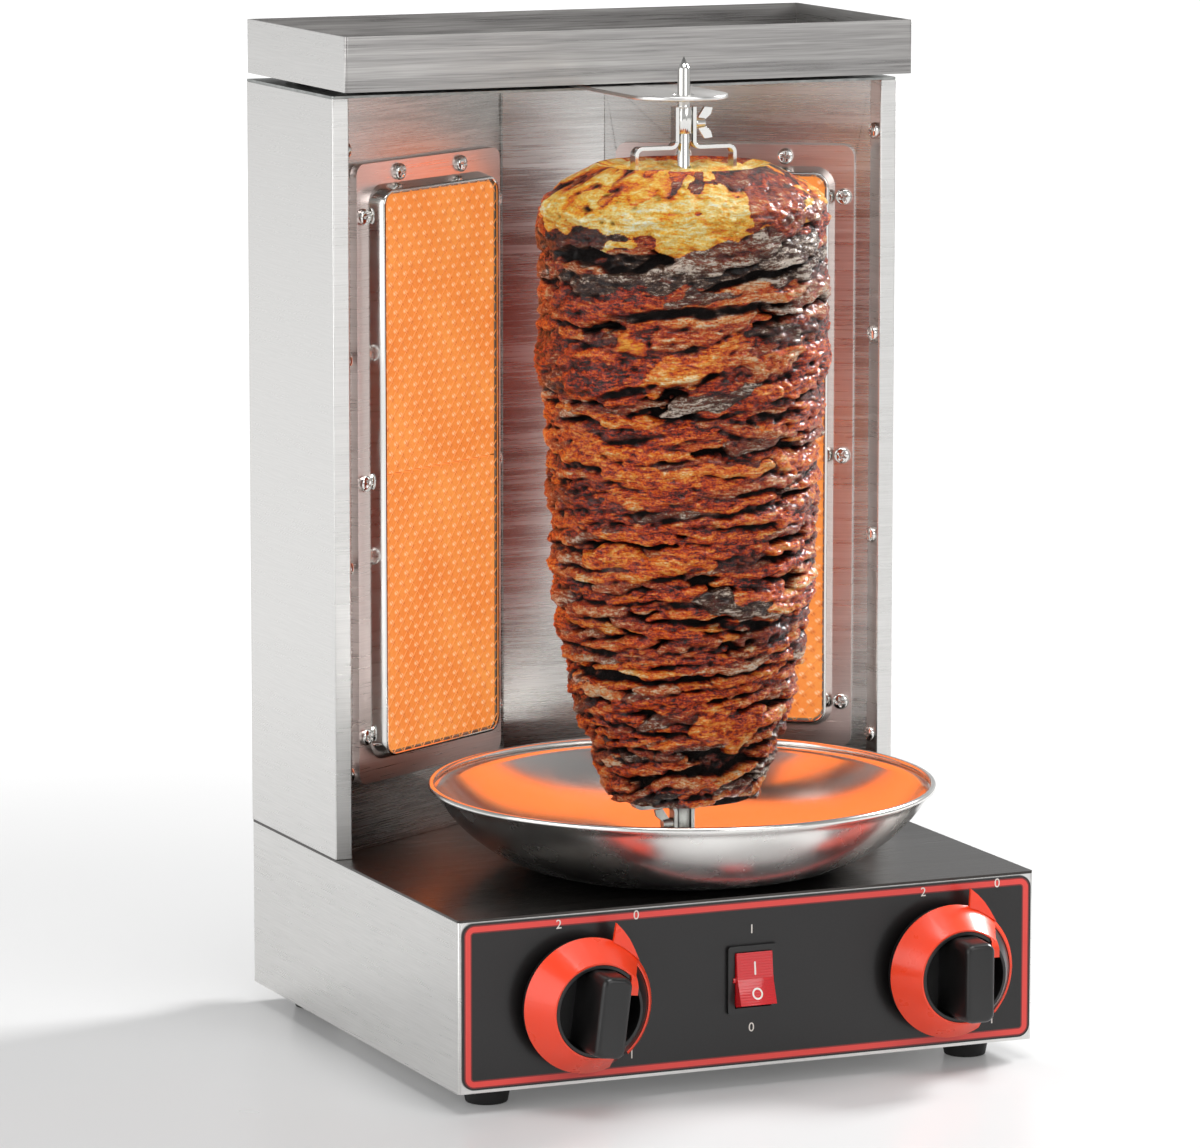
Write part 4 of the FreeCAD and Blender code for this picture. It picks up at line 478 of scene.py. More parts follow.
@dataclass(frozen=True)
class GlowingCeramic:
    """Honeycomb infrared tile with fine holes, glowing at the front, with painted highlights and shadows in
    staggered rows where the net's wires cross.
    """

    name: str = "cordierite ceramic, glowing"
    cold: str = "#8a4526"
    dim: str = "#e07f34"
    warm: str = "#ee9f4e"
    # bright and dark: painted highlight and painted shadow of each crossing of the net's wires
    bright: str = "#fbd0a0"
    dark: str = "#b04e2c"
    pitch_x: float = 0.0081
    pitch_y: float = 0.0092
    mark: float = 0.0013
    shift: float = 0.0007
    strength: float = 0.96
    holes_per_metre: float = 700.0
    hole_depth: float = 0.0004

    def _marks(self, g: Surface, u: Wire, v: Wire, shift: float) -> Wire:
        """Round marks in staggered rows where the net's wires cross, used for their painted highlights and
        painted shadows.

        Args:
            g: The material under work.
            u: The face's level coordinate.
            v: The face's upright coordinate.
            shift: How far the marks stand to the lower right.

        Returns:
            1 in a mark's middle and 0 outside.
        """
        near = None
        for stagger in (64.0, 64.5):
            parts = []
            for value, pitch, move in ((u, self.pitch_x, -shift), (v, self.pitch_y, shift)):
                turn = g.math("FRACT", (value + move) / pitch + stagger)
                parts.append((turn - 0.5) * pitch)
            distance = g.length(parts[0] * 0.75, parts[1])
            near = distance if near is None else g.math("MINIMUM", near, distance)
        return g.math("POWER", g.math("SUBTRACT", 1.0, near / self.mark, clamp=True), 0.6)

    def build(self) -> bpy.types.Material:
        """Make the material."""
        g = Surface(self.name)
        uv = g.out("ShaderNodeUVMap", uv_map="face")
        u, v = g.axis(uv, "X"), g.axis(uv, "Y")
        cells = g.out("ShaderNodeTexVoronoi", {"Vector": uv, "Scale": self.holes_per_metre}, "Distance")
        glow = g.ramp(g.noise(uv, 24.0, 3.0), ((0.32, self.dim), (0.66, self.warm)))
        glow = g.mix(cells * 0.55, glow, linear(self.dim))
        # Painted shadows and painted highlights of the wire crossings, drawn into the tile's glow; the
        # shadows' strength varies at random.
        patchiness = g.spread(g.noise(uv, 300.0, 2.0), 0.35, 1.0)
        glow = g.mix(self._marks(g, u, v, self.shift) * patchiness, glow, linear(self.dark))
        glow = g.mix(self._marks(g, u, v, -self.shift), glow, linear(self.bright))
        return g.finish(
            Base_Color=linear(self.cold),
            Roughness=0.9,
            Emission_Color=glow,
            Emission_Strength=self.strength,
            Normal=g.bump(cells, self.hole_depth, 0.5),
        )


@dataclass(frozen=True)
class HotWire:
    """Thin wire that glows faintly in front of the tiles."""

    name: str = "steel wire, red hot"
    colour: str = "#8a4a2c"
    glow: str = "#f09a52"
    strength: float = 0.8

    def build(self) -> bpy.types.Material:
        """Make the material."""
        g = Surface(self.name)
        heat = g.noise(g.place(), 160.0, 3.0)
        return g.finish(
            Base_Color=linear(self.colour),
            Metallic=0.6,
            Roughness=g.spread(heat, 0.35, 0.5),
            Emission_Color=linear(self.glow),
            Emission_Strength=g.spread(heat, self.strength * 0.8, self.strength * 1.2),
        )


@dataclass(frozen=True)
class RoastMeat:
    """Stacked roast slices: golden fat, brown crust and grey char, with painted shade in the crevices and
    painted highlights on the crests.
    """

    name: str = "roast meat, layered"
    crust: tuple = ((0.20, "#120301"), (0.34, "#3e0c02"), (0.44, "#971c02"), (0.54, "#d94404"),
                    (0.66, "#f27c14"), (0.78, "#f9ab44"), (0.94, "#fee8bc"))
    char: tuple = ((0.28, "#080302"), (0.44, "#241009"), (0.55, "#3c2012"), (0.66, "#6e5240"),
                   (0.80, "#dccdbe"))
    fat: tuple = ((0.16, "#8a2604"), (0.30, "#e0500a"), (0.43, "#f3900f"), (0.55, "#fabf36"),
                  (0.69, "#fde594"), (0.85, "#fffbe6"))
    # gap: painted shade, the colour laid in crevices and pits between slices
    gap: str = "#0e0402"
    contrast: float = 2.0
    strand_depth: float = 0.0026
    fleck_depth: float = 0.0018

    def build(self) -> bpy.types.Material:
        """Make the material from the heap's own layers and three noises."""
        g = Surface(self.name)
        relief, shade, burnt, fat = (
            g.out("ShaderNodeAttribute", output="Fac", attribute_name=name) for name in Meat.layers)
        bent = g.out("ShaderNodeCombineXYZ", {"Z": g.noise(g.place(), 30.0, 3.0) * 0.06})
        warped = g.out("ShaderNodeVectorMath", {0: g.place((1.0, 1.0, 5.5)), 1: bent})
        strands = g.noise(warped, 130.0, 9.0, 0.74)
        patches = g.noise(g.place((1.0, 1.0, 2.0)), 52.0, 5.0, 0.62)
        flecks = g.noise(g.place((1.0, 1.0, 1.5)), 700.0, 5.0, 0.72)
        # Fine flecks: tone that varies at random, partly painted glints where they lift the tone to the
        # ramps' pale ends.
        speckle_and_glint = (flecks - 0.5) * 0.9
        tone = (strands * 0.7 + patches * 0.3 - 0.5) * self.contrast + 0.5
        # relief lightens the crests and darkens the crevices: painted highlight and painted shade.
        tone = tone + (relief - 0.5) * 0.26 + speckle_and_glint + shade
        wild = (patches - 0.5) * 0.9 + (strands - 0.5) * 1.1 + speckle_and_glint
        colour = g.mix(g.between(burnt + wild, 0.3, 1.0), g.ramp(tone, self.crust), g.ramp(tone, self.char))
        rich = tone * 0.8 + (fat * 0.42 - 0.28)
        colour = g.mix(g.between(fat - wild * 0.35, 0.3, 0.75), colour, g.ramp(rich, self.fat))
        # Painted shade: the crevice colour where relief is low, where the meat is also rougher and without
        # coat.
        crevice_shade = g.between(relief, 0.3, 0.0)
        return g.finish(
            Base_Color=g.mix(crevice_shade, colour, linear(self.gap)),
            Roughness=g.spread(flecks, 0.3, 0.55) + crevice_shade * 0.4,
            IOR=1.45,
            Specular_IOR_Level=0.3,
            Coat_Weight=0.3 - crevice_shade * 0.3,
            Coat_Roughness=0.15,
            Subsurface_Weight=0.05,
            Subsurface_Radius=(1.0, 0.35, 0.15),
            Subsurface_Scale=0.002,
            Normal=g.bump(strands, self.strand_depth, Normal=g.bump(flecks, self.fleck_depth)),
        )


@dataclass(frozen=True)
class PlainPrint:
    """Silk-screen print."""

    name: str = "screen print, pale"
    colour: str = "#e8e2da"
    worn: str = "#a9a29a"

    def build(self) -> bpy.types.Material:
        """Make the material."""
        g = Surface(self.name)
        patchiness = g.spread(g.noise(g.place(), 1500.0, 2.0), 0.0, 0.2)
        return g.finish(Base_Color=g.mix(patchiness, linear(self.colour), linear(self.worn)), Roughness=0.5)


@dataclass(frozen=True)
class Finishes:
    """Every finish of the grill."""

    case: BrushedSteel = BrushedSteel(depth=0.15)
    back: BrushedSteel = BrushedSteel("stainless steel, long grain", dark="#b4b1ae", roughness=0.26,
                                      streak=0.5)
    # plate: pinkish steel, partly heat tint and partly the burners' red glow painted into its colour
    plate: BrushedSteel = BrushedSteel("stainless steel, straw tint", "#ebdcd8", "#dfcfcb")
    # cap: the steel darkened, a painted dark reflection on the cap's front and top
    cap: BrushedSteel = BrushedSteel("stainless steel, cap", "#b4b2b0", "#838180", streak=0.7, depth=0.35)
    # deck: plain stainless steel painted dark, standing in for its reflection of the dark bay
    deck: BrushedSteel = BrushedSteel("stainless steel, heat darkened", "#4d4a48", "#423f3d",
                                      grain=Grain.ALONG_X, streak=0.3)
    polished: PolishedSteel = PolishedSteel()
    pan: SpunSteel = SpunSteel()
    zinc: PlainMetal = PlainMetal("steel, galvanised", "#b4b6b4", "#8f9290", 0.42)
    brass: PlainMetal = PlainMetal("brass, turned", "#c9a35c", "#a5803c", 0.28)
    wire: HotWire = HotWire()
    black: Moulded = Moulded("phenolic, black", "#0d0c0c", 0.34, coat=0.15)
    rubber: Moulded = Moulded("rubber, black", "#1b1a1a", 0.75, relief=0.00005)
    orange: Moulded = Moulded("nylon, orange-red", "#ee3d16", 0.3, coat=0.25, see_through=0.1)
    red: RockerLens = RockerLens()
    panel: PrintedPanel = PrintedPanel()
    ceramic: GlowingCeramic = GlowingCeramic()
    meat: RoastMeat = RoastMeat()
    ink: PlainPrint = PlainPrint()

    def build(self) -> dict[str, bpy.types.Material]:
        """Make all materials.

        Returns:
            The materials by the names of this class's fields.
        """
        return {entry.name: getattr(self, entry.name).build() for entry in fields(self)}


# Meshes


def link(name: str, data: bpy.types.ID) -> bpy.types.Object:
    """Put a mesh, lamp, text or camera into the scene."""
    thing = bpy.data.objects.new(name, data)
    bpy.context.scene.collection.objects.link(thing)
    return thing


def dress(thing: bpy.types.Object, body: str, node: str) -> None:
    """Let a piece stand in for a CAD node.

    Args:
        thing: The piece.
        body: The body that it moves with.
        node: The CAD node that it replaces.
    """
    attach(thing, body)
    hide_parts(node)


def make_mesh(name: str, points: np.ndarray, faces: Iterable[Sequence[int]],
              material: bpy.types.Material, sharp: float = 35.0) -> bpy.types.Object:
    """Make a smooth-shaded mesh object at the origin.

    Args:
        name: The object's name.
        points: Corner points in metres.
        faces: Corner numbers of each face.
        material: Its finish.
        sharp: Edges with a larger angle stay sharp, in degrees.

    Returns:
        The linked object.
    """
    mesh = bpy.data.meshes.new(name)
    mesh.from_pydata([tuple(p) for p in np.asarray(points)], [], [tuple(f) for f in faces])
    clean = bmesh.new()
    clean.from_mesh(mesh)
    bmesh.ops.remove_doubles(clean, verts=clean.verts, dist=1e-7)
    bmesh.ops.recalc_face_normals(clean, faces=clean.faces)
    clean.to_mesh(mesh)
    clean.free()
    mesh.shade_smooth()
    mesh.set_sharp_from_angle(angle=math.radians(sharp))
    mesh.materials.append(material)
    return link(name, mesh)


def plain_mesh(holder: bpy.types.Object) -> bpy.types.Mesh:
    """Mesh of an object with its text or modifiers worked out."""
    graph = bpy.context.evaluated_depsgraph_get()
    graph.update()
    return bpy.data.meshes.new_from_object(holder.evaluated_get(graph))


def circle(radius: float, steps: int) -> list[Flat]:
    """Points at even steps round a circle."""
    angles = [2 * math.pi * k / steps for k in range(steps)]
    return [(radius * math.cos(a), radius * math.sin(a)) for a in angles]


def ring_faces(rows: int, count: int, closed: bool = False) -> list[tuple[int, ...]]:
    """Faces between rings of equal length.

    Args:
        rows: How many rings there are.
        count: Points on each ring.
        closed: Whether the last ring joins the first.

    Returns:
        Corner numbers of each face.
    """
    faces = []
    for row in range(rows if closed else rows - 1):
        here, there = row * count, (row + 1) % rows * count
        for k in range(count):
            after = (k + 1) % count
            faces.append((here + k, here + after, there + after, there + k))
    return faces


def lathe(profile: Sequence[Flat], steps: int = 128) -> Mesh:
    """Turn a closed outline about the third axis.

    Args:
        profile: Radii and heights, in order round the outline.
        steps: How many times it is repeated in a full turn.

    Returns:
        Points and faces.
    """
    outline = np.array(profile)
    turns = np.array(circle(1.0, steps))
    x = outline[None, :, 0] * turns[:, :1]
    y = outline[None, :, 0] * turns[:, 1:]
    z = np.broadcast_to(outline[None, :, 1], x.shape)
    count = len(outline)
    faces = []
    for step in range(steps):
        here, there = step * count, (step + 1) % steps * count
        for k in range(count):
            after = (k + 1) % count
            if outline[k, 0] > 1e-9 or outline[after, 0] > 1e-9:
                faces.append([here + k, there + k, there + after, here + after])
    return np.stack([x, y, z], -1).reshape(-1, 3), faces


def join(*meshes: Mesh) -> Mesh:
    """Put several point and face lists together."""
    points, faces, start = [], [], 0
    for spots, rings in meshes:
        points.append(np.asarray(spots))
        faces += [[corner + start for corner in ring] for ring in rings]
        start += len(spots)
    return np.concatenate(points), faces


def moved(mesh: Mesh, matrix: Matrix) -> Mesh:
    """Move points by a matrix."""
    m = np.array(matrix)
    return np.asarray(mesh[0]) @ m[:3, :3].T + m[:3, 3], mesh[1]


def skin(rings: Sequence[Sequence[Point]]) -> Mesh:
    """Join closed rings of equal length and cap both ends."""
    count = len(rings[0])
    caps = [list(range(count))[::-1], list(range((len(rings) - 1) * count, len(rings) * count))]
    return np.array([p for ring in rings for p in ring]), caps + ring_faces(len(rings), count)


def prism(corners: Sequence[Flat], low: float, high: float) -> Mesh:
    """Raise a flat outline into a solid between two heights."""
    return skin([[(x, y, z) for x, y in corners] for z in (low, high)])


def rounded_outline(half_x: float, half_y: float, radius: float, steps: int) -> list[Flat]:
    """Outline of a rectangle with round corners.

    Args:
        half_x: Half its width.
        half_y: Half its height.
        radius: Corner radius.
        steps: Steps on each corner.

    Returns:
        The outline's points, counterclockwise.
    """
    points = []
    for corner, (sx, sy) in enumerate(((1, -1), (1, 1), (-1, 1), (-1, -1))):
        for step in range(steps + 1):
            angle = math.radians(90 * corner - 90 + 90 * step / steps)
            points.append((sx * (half_x - radius) + radius * math.cos(angle),
                           sy * (half_y - radius) + radius * math.sin(angle)))
    return points


def soften(node: bpy.types.Object, width: float) -> None:
    """Round a CAD node's sharp edges for light to catch.

    Args:
        node: The node.
        width: Width of the rounding in metres.
    """
    node.modifiers.new("seams", "WELD").merge_threshold = 1e-6
    bevel = node.modifiers.new("edges", "BEVEL")
    bevel.width = width
    bevel.segments = 2
    bevel.limit_method = "ANGLE"
    bevel.angle_limit = math.radians(40)
    bevel.harden_normals = True


class CopyNodes:
    """Geometry nodes that set one piece at every point of a list."""

    def __init__(self) -> None:
        """Build the group: points carry a turn and a size as attributes."""
        self.group = bpy.data.node_groups.new("copies at points", "GeometryNodeTree")
        face = self.group.interface
        face.new_socket("Geometry", in_out="INPUT", socket_type="NodeSocketGeometry")
        face.new_socket("Geometry", in_out="OUTPUT", socket_type="NodeSocketGeometry")
        piece = face.new_socket("Piece", in_out="INPUT", socket_type="NodeSocketObject")
        finish = face.new_socket("Finish", in_out="INPUT", socket_type="NodeSocketMaterial")
        self.piece_id, self.finish_id = piece.identifier, finish.identifier
        g = Graph(self.group)
        start = g.add("NodeGroupInput").outputs
        info = g.out("GeometryNodeObjectInfo", {"Object": start["Piece"]}, "Geometry")
        turn, size = (
            g.out("GeometryNodeInputNamedAttribute", {"Name": name}, "Attribute", data_type=kind)
            for name, kind in (("turn", "QUATERNION"), ("size", "FLOAT_VECTOR")))
        inputs = {"Points": start["Geometry"], "Instance": info, "Rotation": turn, "Scale": size}
        copies = g.out("GeometryNodeInstanceOnPoints", inputs)
        real = g.out("GeometryNodeRealizeInstances", {"Geometry": copies})
        painted = g.out("GeometryNodeSetMaterial", {"Geometry": real, "Material": start["Finish"]})
        g.add("NodeGroupOutput", {"Geometry": painted})

    def make(self, name: str, piece: Mesh, places: Sequence[Matrix],
             material: bpy.types.Material, sharp: float = 35.0) -> bpy.types.Object:
        """Set a piece at several places and keep the outcome as one plain mesh.

        Args:
            name: The object's name.
            piece: Points and faces of the piece.
            places: Where each copy goes, turned and scaled.
            material: The copies' finish.
            sharp: Edges with a larger angle stay sharp, in degrees.

        Returns:
            The linked object.
        """
        source = make_mesh(name + "_piece", *piece, material, sharp)
        cloud = bpy.data.meshes.new(name + "_points")
        cloud.from_pydata([tuple(m.translation) for m in places], [], [])
        for kind, label, key, values in (
            ("QUATERNION", "turn", "value", [v for m in places for v in m.to_quaternion()]),
            ("FLOAT_VECTOR", "size", "vector", [v for m in places for v in m.to_scale()]),
        ):
            cloud.attributes.new(label, kind, "POINT").data.foreach_set(key, values)
        holder = link(name, cloud)
        modifier = holder.modifiers.new("copies", "NODES")
        modifier.node_group = self.group
        modifier[self.piece_id] = source
        modifier[self.finish_id] = material
        plain = plain_mesh(holder)
        holder.modifiers.clear()
        holder.data = plain
        bpy.data.objects.remove(source)
        return holder


# Places


def facing(x: float, y: float, z: float, lean: float = 0.0) -> Matrix:
    """Place of a piece whose third axis points to the front.

    Args:
        x: Its place along X.
        y: Its place along Y.
        z: Its height.
        lean: Its clockwise turn seen from the front, in degrees.

    Returns:
        The matrix.
    """
    turn = Matrix.Rotation(math.radians(90), 4, "X") @ Matrix.Rotation(math.radians(-lean), 4, "Z")
    return Matrix.Translation((x, y, z)) @ turn


def pointing(at: Point, direction: Point, spin: float = 0.0) -> Matrix:
    """Place of a piece whose third axis points one way.

    Args:
        at: Its place.
        direction: Where the axis points.
        spin: Turn about that axis in degrees.

    Returns:
        The matrix.
    """
    turn = Vector((0, 0, 1)).rotation_difference(Vector(direction)).to_matrix().to_4x4()
    return Matrix.Translation(at) @ turn @ Matrix.Rotation(math.radians(spin), 4, "Z")


ON_SPIT = Matrix.Translation((0, SPIT_Y, DECK_Z))


@dataclass(frozen=True)
class BurnerPlace:
    """Where the burners stand, in metres and degrees."""

    outer_x: float = 0.1413
    outer_y: float = 0.0455
    shift: float = 0.0675
    middle: float = 0.2785
    angle: float = 32.2
    glow_front: float = 0.0135
    glow_size: Flat = (0.088, 0.27)
    glow_power: float = 0.07
    glow_colour: str = "#ff5a2a"

    def matrix(self, side: Side) -> Matrix:
        """Place of a burner whose local X runs across it, Y to its back and Z up."""
        turn = math.radians(self.angle)
        x = side.value * (self.outer_x - self.shift * math.cos(turn))
        y = self.outer_y + self.shift * math.sin(turn)
        return Matrix.Translation((x, y, self.middle)) @ Matrix.Rotation(-side.value * turn, 4, "Z")


# Pieces


@dataclass
class Screws:
    """Pan-head screws with a cross recess."""

    copier: CopyNodes
    material: bpy.types.Material
    head: float = 0.0041
    rise: float = 0.0029
    rim_share: float = 0.42
    shank: float = 0.002
    length: float = 0.007
    slot_half: float = 0.00042
    slot_taper: float = 0.35
    slot_reach: float = 0.56
    slot_depth: float = 0.42
    side_blur: float = 0.00006
    end_blur: float = 0.00009
    rings: int = 14
    steps: int = 48

    def piece(self) -> Mesh:
        """One screw: its seat at zero, its head upward."""
        rows = []
        for ring in range(self.rings + 1):
            r = self.head * (ring / self.rings)
            crown = (1 - self.rim_share) * math.sqrt(max(0.0, 1 - (r / self.head) ** 2.4))
            dome = self.rise * (self.rim_share + crown)
            wide = self.slot_half * (1 - self.slot_taper * r / self.head)
            row = []
            for x, y in circle(r, self.steps):
                inside = 1 / (1 + math.exp((min(abs(x), abs(y)) - wide) / self.side_blur))
                inside *= 1 / (1 + math.exp((r - self.head * self.slot_reach) / self.end_blur))
                row.append((x, y, dome - inside * self.rise * self.slot_depth))
            rows.append(row)
        for r, z in ((self.head, 0.0), (self.shank, 0.0), (self.shank, -self.length), (0.0, -self.length)):
            rows.append([(x, y, z) for x, y in circle(r, self.steps)])
        return np.array([p for row in rows for p in row]), ring_faces(len(rows), self.steps)

    def build(self, node: str, places: Sequence[Matrix]) -> None:
        """Stand in for one node of screws.

        Args:
            node: The CAD node.
            places: Where each screw sits.
        """
        screws = self.copier.make(node + "_turned", self.piece(), places, self.material, 50.0)
        dress(screws, "frame", node)


@dataclass(frozen=True)
class ScrewRows:
    """Where the screws that show sit, in metres, each row with its own turns in degrees."""

    plate_x: float = 0.055
    plate_z: Point = (0.1265, -0.0035, -0.1285)
    plate_end: Flat = (0.0256, 0.1463)
    plate_face: float = -0.004
    plate_turn: float = 37.0
    wall_x: float = 0.1413
    wall_y: float = 0.040
    wall_start: float = DECK_Z + 0.041
    wall_pitch: float = 0.1014
    wall_count: int = 4
    wall_turn: float = 23.0
    rear_x: float = 0.144
    rear_y: float = 0.150
    rear_z: Point = (0.107, 0.279, 0.451)
    rear_turn_per_metre: float = 300.0
    cap_x: float = 0.130
    cap_y: Flat = (0.062, 0.130)
    bracket: Flat = (0.012, 0.0616)
    cap_z: float = 0.4692
    cap_turn_per_metre: float = 900.0

    @staticmethod
    def _mirrored(half_x: float, others: Sequence[float]) -> list[Flat]:
        """Each of some places on the left half, then on the right half."""
        return [(side.value * half_x, other) for side in Side for other in others]

    def plate(self, burner: Matrix) -> list[Matrix]:
        """Screws of the cover plate of the burner that stands at a place."""
        spots = self._mirrored(self.plate_x, self.plate_z)
        spots += self._mirrored(self.plate_end[0], self.plate_end[1:])
        return [burner @ pointing((x, self.plate_face, z), (0, -1, 0), self.plate_turn * index)
                for index, (x, z) in enumerate(spots)]

    def walls(self) -> list[Matrix]:
        """Screws on the inner faces of the side panels."""
        return [pointing((side.value * self.wall_x, self.wall_y, self.wall_start + self.wall_pitch * row),
                         (-side.value, 0, 0), self.wall_turn * row)
                for side in Side for row in range(self.wall_count)]

    def rear(self) -> list[Matrix]:
        """Screws of the rear panel."""
        return [pointing((x, self.rear_y, z), (0, 1, 0), self.rear_turn_per_metre * z)
                for x, z in self._mirrored(self.rear_x, self.rear_z)]

    def cap(self) -> list[Matrix]:
        """Screws in the tray on top: four near its corners and two over the bracket."""
        spots = self._mirrored(self.cap_x, self.cap_y) + self._mirrored(self.bracket[0], self.bracket[1:])
        return [pointing((x, y, self.cap_z), (0, 0, 1), self.cap_turn_per_metre * y) for x, y in spots]


@dataclass
class Burner:
    """Glowing tiles, wire net and raised frame of one burner."""

    side: Side
    place: Matrix
    copier: CopyNodes
    tile_half: float = 0.0458
    tile_height: float = 0.136
    tile_joint: float = 0.001
    tile_round: float = 0.0053
    tile_front: float = 0.010
    tile_back: float = -0.002
    net_half: float = 0.0468
    net_end: float = 0.1377
    shortest: float = 0.003
    wire: float = 0.00022
    wire_level: float = 0.0104
    pitch_x: float = 0.0081
    pitch_z: float = 0.0092
    frame_half: float = 0.0505
    frame_end: float = 0.1413
    frame_taper: float = 0.0024
    frame_foot: float = 0.004
    frame_top: float = 0.012
    frame_wall: float = 0.001
    frame_lip: float = 0.0013
    frame_round: float = 0.010

    def tiles(self, material: bpy.types.Material) -> None:
        """Build the two ceramic tiles with their own face coordinates."""
        mesh = moved(join(self._tile(-1), self._tile(1)), self.place)
        thing = make_mesh(f"{self.side.prefix}_glowing_tiles", *mesh, material)
        back = self.place.inverted()
        layer = thing.data.uv_layers.new(name="face")
        for loop in thing.data.loops:
            spot = back @ thing.data.vertices[loop.vertex_index].co
            layer.data[loop.index].uv = (spot.x, spot.z)
        dress(thing, "frame", f"{self.side.prefix}_burner_ceramics")

    def _tile(self, row: int) -> Mesh:
        """One tile with two round corners: row 1 for the upper tile and -1 for the lower one."""
        r, half, top = self.tile_round, self.tile_half, self.tile_joint / 2 + self.tile_height
        edge = [(-half, self.tile_joint / 2), (half, self.tile_joint / 2)]
        for centre, start in ((half - r, 0), (r - half, 90)):
            for step in range(9):
                a = math.radians(start + 90 * step / 8)
                edge.append((centre + r * math.cos(a), top - r + r * math.sin(a)))
        return skin([[(x, level, row * z) for x, z in edge] for level in (-self.tile_back, -self.tile_front)])

    def net(self, material: bpy.types.Material) -> None:
        """Build the wire net: two sets of slanting wires, clipped to the frame."""
        places = []
        for lean in (-1, 1):
            direction = (lean * self.pitch_x, 0, self.pitch_z)
            slope = self.pitch_z / (lean * self.pitch_x)
            level = self.wire_level + lean * self.wire * 0.9
            count = int((self.net_end + abs(slope) * self.net_half) / self.pitch_z) + 1
            for index in range(-count, count + 1):
                ends = self._clip(slope, index * self.pitch_z)
                if ends is None:
                    continue
                (x0, z0), (x1, z1) = ends
                local = pointing(((x0 + x1) / 2, -level, (z0 + z1) / 2), direction)
                stretch = Matrix.Diagonal((1, 1, math.dist(*ends), 1))
                places.append(self.place @ local @ stretch)
        name = f"{self.side.prefix}_wire_net"
        net = self.copier.make(name, prism(circle(self.wire, 6), -0.5, 0.5), places, material)
        dress(net, "frame", f"{self.side.prefix}_burner_net")

    def _clip(self, slope: float, offset: float) -> list[Flat] | None:
        """Ends of the line z = slope x + offset inside the net, or None."""
        spots = []
        for x in (-self.net_half, self.net_half):
            z = slope * x + offset
            if abs(z) <= self.net_end:
                spots.append((x, z))
        for z in (-self.net_end, self.net_end):
            x = (z - offset) / slope
            if abs(x) < self.net_half:
                spots.append((x, z))
        if len(spots) != 2 or math.dist(*spots) < self.shortest:
            return None
        return spots

    def bezel(self, material: bpy.types.Material) -> None:
        """Build the drawn frame round the tiles."""
        thin, lip, taper = self.frame_wall, self.frame_lip, self.frame_taper
        top, foot = self.frame_top, self.frame_foot
        section = ((0.0, foot), (taper * 0.88, top - 0.0009), (taper * 0.97, top - 0.0003),
                   (taper + 0.0003, top - 0.00005), (taper + lip * 0.7, top),
                   (taper + lip, top - 0.0003), (taper + lip, top - thin),
                   (taper + thin, top - thin), (thin, foot))
        points = []
        for inset, level in section:
            outline = rounded_outline(self.frame_half - inset, self.frame_end - inset,
                                      self.frame_round - inset, 10)
            points += [(x, -level, z) for x, z in outline]
        faces = ring_faces(len(section), len(outline), closed=True)
        mesh = moved((np.array(points), faces), self.place)
        thing = make_mesh(f"{self.side.prefix}_burner_frame", *mesh, material, 40.0)
        dress(thing, "frame", f"{self.side.prefix}_burner_bezel")


@dataclass
class DripPan:
    """Spun pan with a rolled rim and a collar in the middle."""

    radius: float = 0.123
    height: float = 0.042
    flat: float = 0.054
    wall: float = 0.0009
    bead: float = 0.0016
    hole: float = 0.023
    collar: float = 0.0085
    steps: int = 28
    bead_steps: int = 14

    def profile(self) -> list[Flat]:
        """Closed outline of the sheet in radius and height."""
        rim_r, rim_z = self.radius - self.bead, self.height - self.bead
        big = ((rim_r - self.flat) ** 2 + rim_z**2) / (2 * rim_z)
        end = math.atan2(rim_r - self.flat, big - rim_z)
        arc = [end * k / self.steps for k in range(self.steps + 1)]
        outer, inner = (
            [(self.flat + bend * math.sin(a), big - bend * math.cos(a)) for a in arc]
            for bend in (big, big - self.wall))
        roll = []
        for k in range(self.bead_steps + 1):
            a = end - math.radians(90) + math.radians(300) * k / self.bead_steps
            roll.append((rim_r + self.bead * math.cos(a), rim_z + self.bead * math.sin(a)))
        inside, top = self.hole + self.wall, self.collar
        collar = [(inside + 0.0012, self.wall), (inside, self.wall + 0.0012), (inside, top - 0.0002),
                  (self.hole + self.wall / 2, top), (self.hole, top - 0.0002), (self.hole, 0.0006),
                  (self.hole + 0.0006, 0.0)]
        return outer[:-1] + roll + inner[-2::-1] + collar

    def build(self, material: bpy.types.Material) -> None:
        """Build the pan and let it move with its body."""
        pan = make_mesh("drip_pan_spun", *moved(lathe(self.profile(), 192), ON_SPIT), material, 50.0)
        dress(pan, "pan", "drip_pan")


